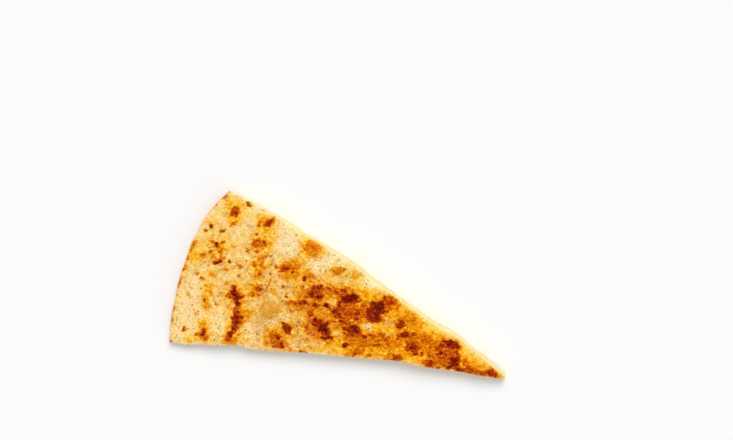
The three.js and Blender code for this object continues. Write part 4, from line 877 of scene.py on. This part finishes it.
def dough(name, seed_shift):
    m = Nodes(name)
    toast, gold, crumb = m.attribute("toast"), m.attribute("gold"), m.attribute("crumb")
    grit, dirt, ruddy = m.attribute("grit"), m.attribute("dirt"), m.attribute("ruddy")
    grain = m.math("SUBTRACT", m.noise(0.42, 3.0, 0.6), 0.5)
    mottle = m.math("SUBTRACT", m.noise(1.1, 2.0, 0.5, 0.4), 0.5)
    # grain is stronger where the dough is browned
    amount = m.math("MULTIPLY", m.math("MULTIPLY_ADD", toast, 0.60, 0.25), grit)
    t = m.math("MULTIPLY_ADD", grain, amount, toast)
    t = m.math("MULTIPLY_ADD", mottle, m.math("MULTIPLY_ADD", toast, 0.30, 0.07), t)
    t = m.math("ADD", t, 0.0, limit=True)
    colour = m.blend(gold, m.ramp(t, CREAMY), m.ramp(t, GOLDEN))
    colour = m.blend(1.0, colour, m.blend(ruddy, (0.905, 1.03, 0.90, 1), (1.09, 0.94, 0.97, 1)), "MULTIPLY")
    olive = m.math("MULTIPLY", m.math("MULTIPLY", ruddy, -1.0, limit=True), m.remap(t, 0.30, 0.60, 0.15, 1.0))
    colour = m.blend(1.0, colour, m.blend(olive, (1, 1, 1, 1), (0.78, 1.60, 0.6, 1)), "MULTIPLY")
    # bran flecks: soft grey-brown spots in some of the cells, and fine uneven mottling between them
    cloud = m.remap(m.noise(0.85, 3.0, 0.6, 0.5), 0.52, 0.72, 0.0, 0.34)
    cloud = m.math("MULTIPLY", m.math("MULTIPLY", cloud, dirt), m.math("SUBTRACT", 1.0, crumb), limit=True)
    colour = m.blend(cloud, colour, lin(172, 118, 44))
    for size, share in ((1.9, 0.66), (1.2, 0.80)):
        v = m.voronoi(size)
        sep = m.nt.nodes.new("ShaderNodeSeparateColor")
        m.link(v.outputs["Color"], sep.inputs["Color"])
        wide = m.math("MULTIPLY_ADD", sep.outputs["Blue"], 0.12, 0.21 if size > 1.5 else 0.26)
        spot = m.remap(m.math("DIVIDE", v.outputs["Distance"], wide), 0.15, 1.35, 1.0, 0.0)
        chosen = m.math("GREATER_THAN", sep.outputs["Red"], share)
        fleck = m.math("MULTIPLY", m.math("MULTIPLY", spot, chosen), m.math("MULTIPLY_ADD", m.math("POWER", sep.outputs["Green"], 1.6), 0.80, 0.06))
        fleck = m.math("MULTIPLY", m.math("MULTIPLY", fleck, dirt), m.math("SUBTRACT", 1.0, crumb), limit=True)
        colour = m.blend(fleck, colour, lin(132, 70, 14))
    pores = m.noise(0.8, 3.0, 0.6, 0.2, stretch=(0.55, 0.55, 1.9))
    crumb_t = m.math("MULTIPLY_ADD", m.math("SUBTRACT", pores, 0.5), 0.34, t, limit=True)
    colour = m.blend(crumb, colour, m.ramp(crumb_t, CRUMB))
    m.link(colour, m.shader.inputs["Base Color"])
    rough = m.remap(t, 0.10, 0.60, 0.66, 0.47)
    rough = m.math("MULTIPLY_ADD", crumb, 0.25, rough)
    rough = m.math("MULTIPLY_ADD", mottle, 0.25, rough, limit=True)
    m.link(rough, m.shader.inputs["Roughness"])
    m.shader.inputs["Specular IOR Level"].default_value = 0.03
    normal = m.bump(m.noise(0.55, 3.0, 0.55), 0.07, 0.8)
    normal = m.bump(m.noise(0.20, 2.0, 0.5), 0.025, 0.7, normal)
    m.link(normal, m.shader.inputs["Normal"])
    return m.mat


def melt(name):
    m = Nodes(name)
    toast = m.attribute("toast")
    cloud = m.math("SUBTRACT", m.noise(1.6, 3.0, 0.55, 0.6, stretch=(0.6, 0.6, 1.5)), 0.5)
    streaks = m.math("SUBTRACT", m.noise(3.2, 2.0, 0.5, 0.8, stretch=(1.6, 1.6, 0.5)), 0.5)
    t = m.math("MULTIPLY_ADD", cloud, 0.24, toast)
    t = m.math("MULTIPLY_ADD", streaks, 0.20, t, limit=True)
    colour = m.ramp(t, [(0.0, (253, 233, 175)), (0.12, (251, 220, 144)), (0.28, (246, 198, 98)), (0.45, (232, 160, 50)),
                        (0.7, (186, 98, 20)), (1.0, (96, 36, 6))])
    m.link(colour, m.shader.inputs["Base Color"])
    m.link(m.remap(cloud, -0.3, 0.3, 0.22, 0.42), m.shader.inputs["Roughness"])
    m.shader.inputs["Specular IOR Level"].default_value = 0.45
    normal = m.bump(m.noise(2.4, 2.0, 0.5, 0.5), 0.28, 0.8)
    m.link(m.bump(m.noise(0.8, 2.0, 0.5), 0.09, 0.7, normal), m.shader.inputs["Normal"])
    return m.mat


# ------------------------------------------------------------------------------
# The top tortilla
# ------------------------------------------------------------------------------
def edge_distance(layer):
    """How far each plan point lies inside the nearer cut, and inside the rim."""
    cut = (1 - np.abs(layer.t)) * layer.rho * HALF_ANGLE
    rim = rim_radius(layer.phi) - RIM_BULGE - layer.rho
    return cut, rim


top = Layer(0.335, 224, lambda s, side: 0.12 * np.sin(s * 27 + 2 + side) + np.where(side > 0, overhang(s), 0), rim_radius, RIM_BULGE)
cut_in, rim_in = edge_distance(top)
along = clamp((top.x + 72) / 146)                      # 0 at the rim, 1 at the tip
ground = 0.117 + 0.040 * smooth(along / 0.35) + 0.106 * smooth((along - 0.36) / 0.42) - 0.05 * smooth((along - 0.86) / 0.1)
gilt = 0.22 + 0.60 * smooth((along - 0.40) / 0.35)
grit = mix(1.50, 1.45, smooth((along - 0.40) / 0.2))
halo_spots = mix(0.15, 0.25, smooth((along - 0.12) / 0.2))
toast, gold, scorch, warm = browning(top.x, top.y, MARKS, PATCHES, 100, ground, gilt, grit, halo_spots)
near_tip = np.where(top.t > 0, np.exp(-((top.x - 55) / 10) ** 2), 0.0)
pale_cut = np.exp(-np.maximum(cut_in - 0.15 - 0.35 * near_tip, 0) / (0.8 + 0.2 * near_tip)) * (1 - 0.55 * smooth((top.x - 64) / 5))
toast = toast * (1 - pale_cut * np.where(top.t > 0, 0.45 + 0.12 * near_tip, 0.34))
gold = clamp(gold - 0.35 * pale_cut)
specks = cells(top.x, top.y, 3.4, 41, share=0.55, radius=(0.25, 0.62))
toast = toast + 0.17 * specks * smooth((0.45 - toast) / 0.2) * (0.4 + 0.6 * noise(top.x, top.y, 7.0, 43))
toast = np.clip(toast, 0.01, 1.0)

# bran shows most in the pale dough of the middle, least in what was fried golden
dirt = 1.0 + 0.8 * np.exp(-((top.x + 12) / 22) ** 2 - ((top.y - 1) / 11) ** 2) + 0.35 * noise(top.x, top.y, 9.0, 47)
dirt = np.clip(dirt * mix(1.0, 0.35, smooth((gold - 0.45) / 0.4)), 0.0, 2.0)

# some of it leans to red, some to olive
ruddy = (0.5 + 0.26 * fbm(top.x, top.y, 2.3, 81, 2) + 0.20 * noise(top.x, top.y, 6.5, 85) + 0.10 * smooth((along - 0.70) / 0.15)
         - 0.16 * np.exp(-((top.x + 30) / 9) ** 2 - ((top.y + 2) / 12) ** 2))
# small lone scorches are black with an olive edge
lone = [m for m in MARKS if m[2] * m[3] < 1.6 and m[5] > 0.5 and m[6] < 0.31]
dot_share, dot_deep, dot_warm = ovals(top.x, top.y, lone, 0.3 * noise(top.x, top.y, 0.9, 91))
lone_dots = clamp(dot_share * 1.5) * smooth((0.55 - along) / 0.2) * smooth((0.75 - gold) / 0.3)

# the dull blister, a little darker round one side: painted shade round its edge
bx, by, ba, bb, bt = BLISTER
bu = ((top.x - bx) * math.cos(bt * DEG) + (top.y - by) * math.sin(bt * DEG)) / ba
bv = ((top.y - by) * math.cos(bt * DEG) - (top.x - bx) * math.sin(bt * DEG)) / bb
bq = np.hypot(bu, bv) + 0.10 * noise(top.x, top.y, 2.0, 61)
dull = smooth((1.12 - bq) / 0.30)
toast = mix(toast, 0.345 + 0.10 * noise(top.x, top.y, 2.8, 62) + 0.04 * noise(top.x, top.y, 1.2, 64), dull)
# painted shade: a darker ring round part of the blister's edge, at the foot of the raised blister
toast = toast + 0.07 * np.exp(-((bq - 1.02) / 0.09) ** 2) * smooth(0.5 + 0.5 * noise(top.x, top.y, 3.5, 63))
gold = mix(gold, 0.40, dull)
dirt = mix(dirt, 0.2, dull)
ruddy = np.clip(mix(ruddy, 0.30 + 0.3 * noise(top.x, top.y, 3.0, 65), dull), 0.0, 1.0) - 1.1 * lone_dots

lv = levels(top.rho, top.phi, top.t)
relief = 0.10 * fbm(top.x, top.y, 5.5, 201, 3) + 0.035 * noise(top.x, top.y, 1.6, 205) + 0.02 * noise(top.x, top.y, 0.8, 206)
relief += 0.16 * smooth(scorch / 0.75) + 0.05 * warm
relief += 0.10 * cells(top.x, top.y, 5.2, 207, share=0.5, radius=(0.9, 2.1))
relief += 0.06 * smooth(scorch / 0.5) * noise(top.x, top.y, 0.9, 208)
relief *= smooth(0.25 + cut_in / 1.2) * smooth(0.25 + rim_in / 1.2)
z_top = lv["top_top"] + relief - 0.10

outdir, top_arc = top.outward()
rim_w = soften(top.rim_share.astype(float), 10)
t_ring = top.t[top.ring]


def top_ripple(arc, f):
    a = 0.10 * noise(arc, f * 0 + 3.1, 5.0, 301) + 0.09 * noise(arc, f * 2.4, 1.5, 302) + 0.05 * noise(arc, f * 2.4 + 9, 0.7, 303)
    pits = cells(arc, f * 2.3 * 2.2, 2.4, 304, share=0.5, radius=(0.35, 0.9))
    return a - 0.16 * pits * (1 - rim_w)


def top_wall(arc, f, ring):
    edge = f * 2.0                                      # mm from the browned skin
    bready = smooth(edge / 0.34) * (1 - rim_w) + smooth((f - 0.35) / 0.5) * rim_w * 0.5
    skin = ring["toast"]
    # the cells in deep are the pits that top_ripple presses into the edge: painted shade in them
    deep = 0.10 + 0.07 * noise(arc, f * 3, 2.2, 311) + 0.05 * noise(arc, f, 9.0, 315) + 0.10 * cells(arc, f * 5.1, 2.4, 304, share=0.5, radius=(0.35, 0.9))
    # a little darker towards its lower edge, by the cheese: painted shade along the join
    join_shade = 0.02 * smooth((f - 0.86) / 0.14)
    rim_toast = 0.30 + 0.16 * noise(arc, f * 0, 6.0, 312) + 0.10 * noise(arc, f * 2, 1.4, 313) - 0.18 * smooth((f - 0.45) / 0.5)
    value = mix(mix(skin * 0.8, deep + join_shade, bready), mix(mix(skin, rim_toast, smooth(f / 0.25)), 0.16, bready), rim_w)
    return {"toast": np.clip(value, 0.01, 1), "gold": mix(ring["gold"], 0.35, smooth(f / 0.2)), "crumb": clamp(bready),
            "grit": ring["grit"], "dirt": ring["dirt"], "ruddy": 0.5 + 0 * f}


top_material = dough("toasted_tortilla", 0)
top_piece = build(
    "tortilla_top", top, z_top, True, lv["top_under"],
    bulge=mix(0.22, RIM_BULGE, rim_w), power=mix(5.0, 2.2, rim_w), loops=12, ripple=top_ripple,
    attributes={"toast": toast, "gold": gold, "crumb": np.zeros(top.n), "grit": grit, "dirt": dirt, "ruddy": ruddy}, wall_values=top_wall, material=top_material)

# ------------------------------------------------------------------------------
# The bottom tortilla: its underside is the browned face
# ------------------------------------------------------------------------------
low = Layer(0.50, 152, lambda s, side: 0.12 * np.sin(s * 31 + side), lambda phi: rim_radius(phi) - 0.7 + 0.5 * np.sin(phi * 19 + 2.6), RIM_BULGE)
lcut, lrim = edge_distance(low)
l_along = clamp((low.x + 72) / 146)
l_toast, l_gold, l_scorch, l_warm = browning(low.x, low.y, UNDER_MARKS, [], 500, 0.22 + 0.05 * l_along, 0.45 + 0.2 * l_along)
l_toast = np.clip(l_toast * (1 - 0.35 * np.exp(-np.maximum(lcut, 0) / 0.9)), 0.01, 1)
llv = levels(low.rho, low.phi, low.t)
# the flat of the underside stays flat; only what lifts off the pan is uneven
free = smooth(llv["underside"] / 0.25)
z_under = llv["underside"] + free * 0.05 * fbm(low.x, low.y, 4.0, 601, 2)
pock = 0.10 * clamp(fbm(low.x, low.y, 3.0, 602, 3) - 0.05) + 0.12 * cells(low.x, low.y, 4.5, 603, share=0.45, radius=(0.6, 1.6))
z_under = np.maximum(z_under + pock * smooth(lcut / 1.5) * smooth(lrim / 1.5), 0.0)
low_w = soften(low.rim_share.astype(float), 8)


def low_ripple(arc, f):
    return 0.10 * noise(arc, f * 0 + 1.7, 5.0, 401) + 0.09 * noise(arc, f * 2.2, 1.5, 402) + 0.05 * noise(arc, f * 2.2 + 5, 0.7, 403)


def low_wall(arc, f, ring):
    edge = f * 1.9
    bready = smooth(edge / 0.34) * (1 - low_w) + smooth((f - 0.35) / 0.5) * low_w * 0.5
    # its last term darkens the edge towards its top, under the cheese: painted shade along the join
    deep = 0.13 + 0.07 * noise(arc, f * 3, 2.2, 411) + 0.06 * noise(arc, f, 9.0, 415) + 0.06 * smooth((f - 0.8) / 0.2)
    rim_toast = 0.28 + 0.14 * noise(arc, f * 0, 6.0, 412) - 0.14 * smooth((f - 0.45) / 0.5)
    value = mix(mix(ring["toast"] * 0.85, deep, bready), mix(mix(ring["toast"], rim_toast, smooth(f / 0.25)), 0.17, bready), low_w)
    return {"toast": np.clip(value, 0.01, 1), "gold": mix(ring["gold"], 0.4, smooth(f / 0.2)), "crumb": clamp(bready),
            "grit": ring["grit"], "dirt": ring["dirt"], "ruddy": 0.5 + 0 * f}


low_material = dough("toasted_underside", 1)
low_piece = build(
    "tortilla_bottom", low, z_under, False, llv["bottom_top"],
    bulge=mix(0.22, RIM_BULGE, low_w), power=mix(5.0, 2.2, low_w), loops=9, ripple=low_ripple,
    attributes={"toast": l_toast, "gold": l_gold, "crumb": np.zeros(low.n), "grit": np.ones(low.n), "dirt": np.full(low.n, 0.7),
                "ruddy": np.clip(0.5 + 0.3 * fbm(low.x, low.y, 2.6, 88, 2), 0, 1)}, wall_values=low_wall, material=low_material)

# ------------------------------------------------------------------------------
# The melted cheese, which fills the space between them
# ------------------------------------------------------------------------------
melted = Layer(0.62, 96, lambda s, side: (-0.15 + 0.28 * np.sin(s * 23 + 1.7 * side) + 0.2 * np.sin(s * 51 - side)
                                          + np.where(side > 0, 0.4 * overhang(s), 0)),
               lambda phi: cheese_edge(phi) + 1.5 + 1.4 * noise(phi / DEG, 0 * phi + 4.4, 3.2, 731), 0.2)
mlv = levels(melted.rho, melted.phi, melted.t)
m_w = soften(melted.rim_share.astype(float), 6)
m_out, m_arc = melted.outward()
m_run = m_arc[:-1]
off_nose = smooth(np.minimum(m_run, m_arc[-1] - m_run) / 4.0)
# where it ran out between the tortillas, and where it laps against them
ooze = smooth((noise(m_run, 0 * m_run + 7.1, 6.5, 720) + 0.4 * noise(m_run, 0 * m_run, 2.6, 721) - 0.02) / 0.7) * off_nose * (1 - m_w)
laps = smooth(0.5 + 0.8 * noise(m_run, 0 * m_run + 1.1, 8.0, 722))
# the top stands out over it along the outer half of the +Y cut
under_cover = np.where(melted.t[melted.ring] > 0, smooth((melted.rho[melted.ring] / RIM_RADIUS - 0.36) / 0.14), 0.0)


def melt_ripple(arc, f):
    runs = 0.38 * noise(arc, f * 0 + 2.2, 7.5, 701) + 0.22 * noise(arc, f * 1.5, 3.0, 702) + 0.12 * noise(arc, f * 3.0, 1.3, 703)
    holes = cells(arc, f * 4.0, 5.5, 704, share=0.35, radius=(0.5, 1.4))
    return (runs * off_nose - 0.45 * holes) * (1 - 0.5 * m_w)


def melt_wall(arc, f, ring):
    holes = cells(arc, f * 4.0, 5.5, 704, share=0.35, radius=(0.5, 1.4))
    # darker in the holes that melt_ripple presses in, and towards the lower edge by the bottom tortilla: painted shade
    # in both
    value = 0.15 + 0.07 * noise(arc, f * 4, 3.0, 711) + 0.12 * holes + 0.10 * smooth((f - 0.75) / 0.25)
    return {"toast": np.clip(value, 0.01, 1)}


cheese_material = melt("melted_cheese")
cheese_piece = build(
    "cheese", melted, mlv["cheese_top"] + LAYER_GAP + 0.02, True, mlv["cheese_bottom"] - LAYER_GAP - 0.02,
    bulge=mix(0.26 + 0.85 * ooze * (1 - 0.72 * under_cover), 0.5, m_w), power=mix(2.3 + 2.6 * laps, 2.0, m_w), loops=14, ripple=melt_ripple,
    sag=1.15 * ooze ** 1.6,
    attributes={"toast": np.full(melted.n, 0.12)}, wall_values=melt_wall, material=cheese_material)

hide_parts("tortilla_top")
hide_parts("tortilla_bottom")
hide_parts("cheese_filling")
for piece, slot in ((top_piece, "tortilla_top"), (low_piece, "tortilla_bottom"), (cheese_piece, "cheese")):
    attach(piece, BODY)

# ------------------------------------------------------------------------------
# Floor, light and camera
# ------------------------------------------------------------------------------
floor_mesh = bpy.data.meshes.new("floor")
floor_mesh.from_pydata([(-3, -3, -0.0002), (3, -3, -0.0002), (3, 3, -0.0002), (-3, 3, -0.0002)], [], [(0, 1, 2, 3)])
floor = bpy.data.objects.new("floor", floor_mesh)
bpy.context.scene.collection.objects.link(floor)
fm = Nodes("floor")
fm.shader.inputs["Base Color"].default_value = (0.915, 0.92, 0.935, 1)
fm.shader.inputs["Roughness"].default_value = 0.7
fm.shader.inputs["Specular IOR Level"].default_value = 0.1
floor_mesh.materials.append(fm.mat)

world = bpy.data.worlds.new("studio")
world.use_nodes = True
world.node_tree.nodes["Background"].inputs["Color"].default_value = (0.99, 0.995, 1.0, 1)
world.node_tree.nodes["Background"].inputs["Strength"].default_value = 0.60
bpy.context.scene.world = world

TILT, TURN = 15 * DEG, 20.08 * DEG
back = Vector((0, math.sin(TILT), math.cos(TILT)))
level = Vector((0, math.cos(TILT), -math.sin(TILT)))
right = math.cos(TURN) * Vector((1, 0, 0)) + math.sin(TURN) * level
up = -math.sin(TURN) * Vector((1, 0, 0)) + math.cos(TURN) * level

sun_data = bpy.data.lights.new("window", "SUN")
sun_data.energy = 2.0
sun_data.angle = 32 * DEG
sun_data.color = (1.0, 0.985, 0.96)
sun = bpy.data.objects.new("window", sun_data)
toward = (up * 0.52 + right * 0.10 + back * 1.0).normalized()
sun.rotation_mode = "QUATERNION"
sun.rotation_quaternion = toward.to_track_quat("Z", "Y")
bpy.context.scene.collection.objects.link(sun)

DISTANCE = 0.75
PER_PIXEL = 0.000444                      # metres to a pixel of a 733 wide picture
tip = Vector((0.0752526, 0.0015073, 0.0043))
middle = tip - right * 0.06145 + up * 0.06926
cam_data = bpy.data.cameras.new("camera")
cam_data.sensor_width = 36.0
cam_data.lens = 36.0 * DISTANCE / (733 * PER_PIXEL)
cam_data.clip_start, cam_data.clip_end = 0.01, 20
camera = bpy.data.objects.new("camera", cam_data)
camera.matrix_world = Matrix((
    (right.x, up.x, back.x, 0), (right.y, up.y, back.y, 0), (right.z, up.z, back.z, 0), (0, 0, 0, 1)))
camera.location = middle + back * DISTANCE
bpy.context.scene.collection.objects.link(camera)
bpy.context.scene.camera = camera

bpy.context.scene.view_settings.view_transform = "Standard"
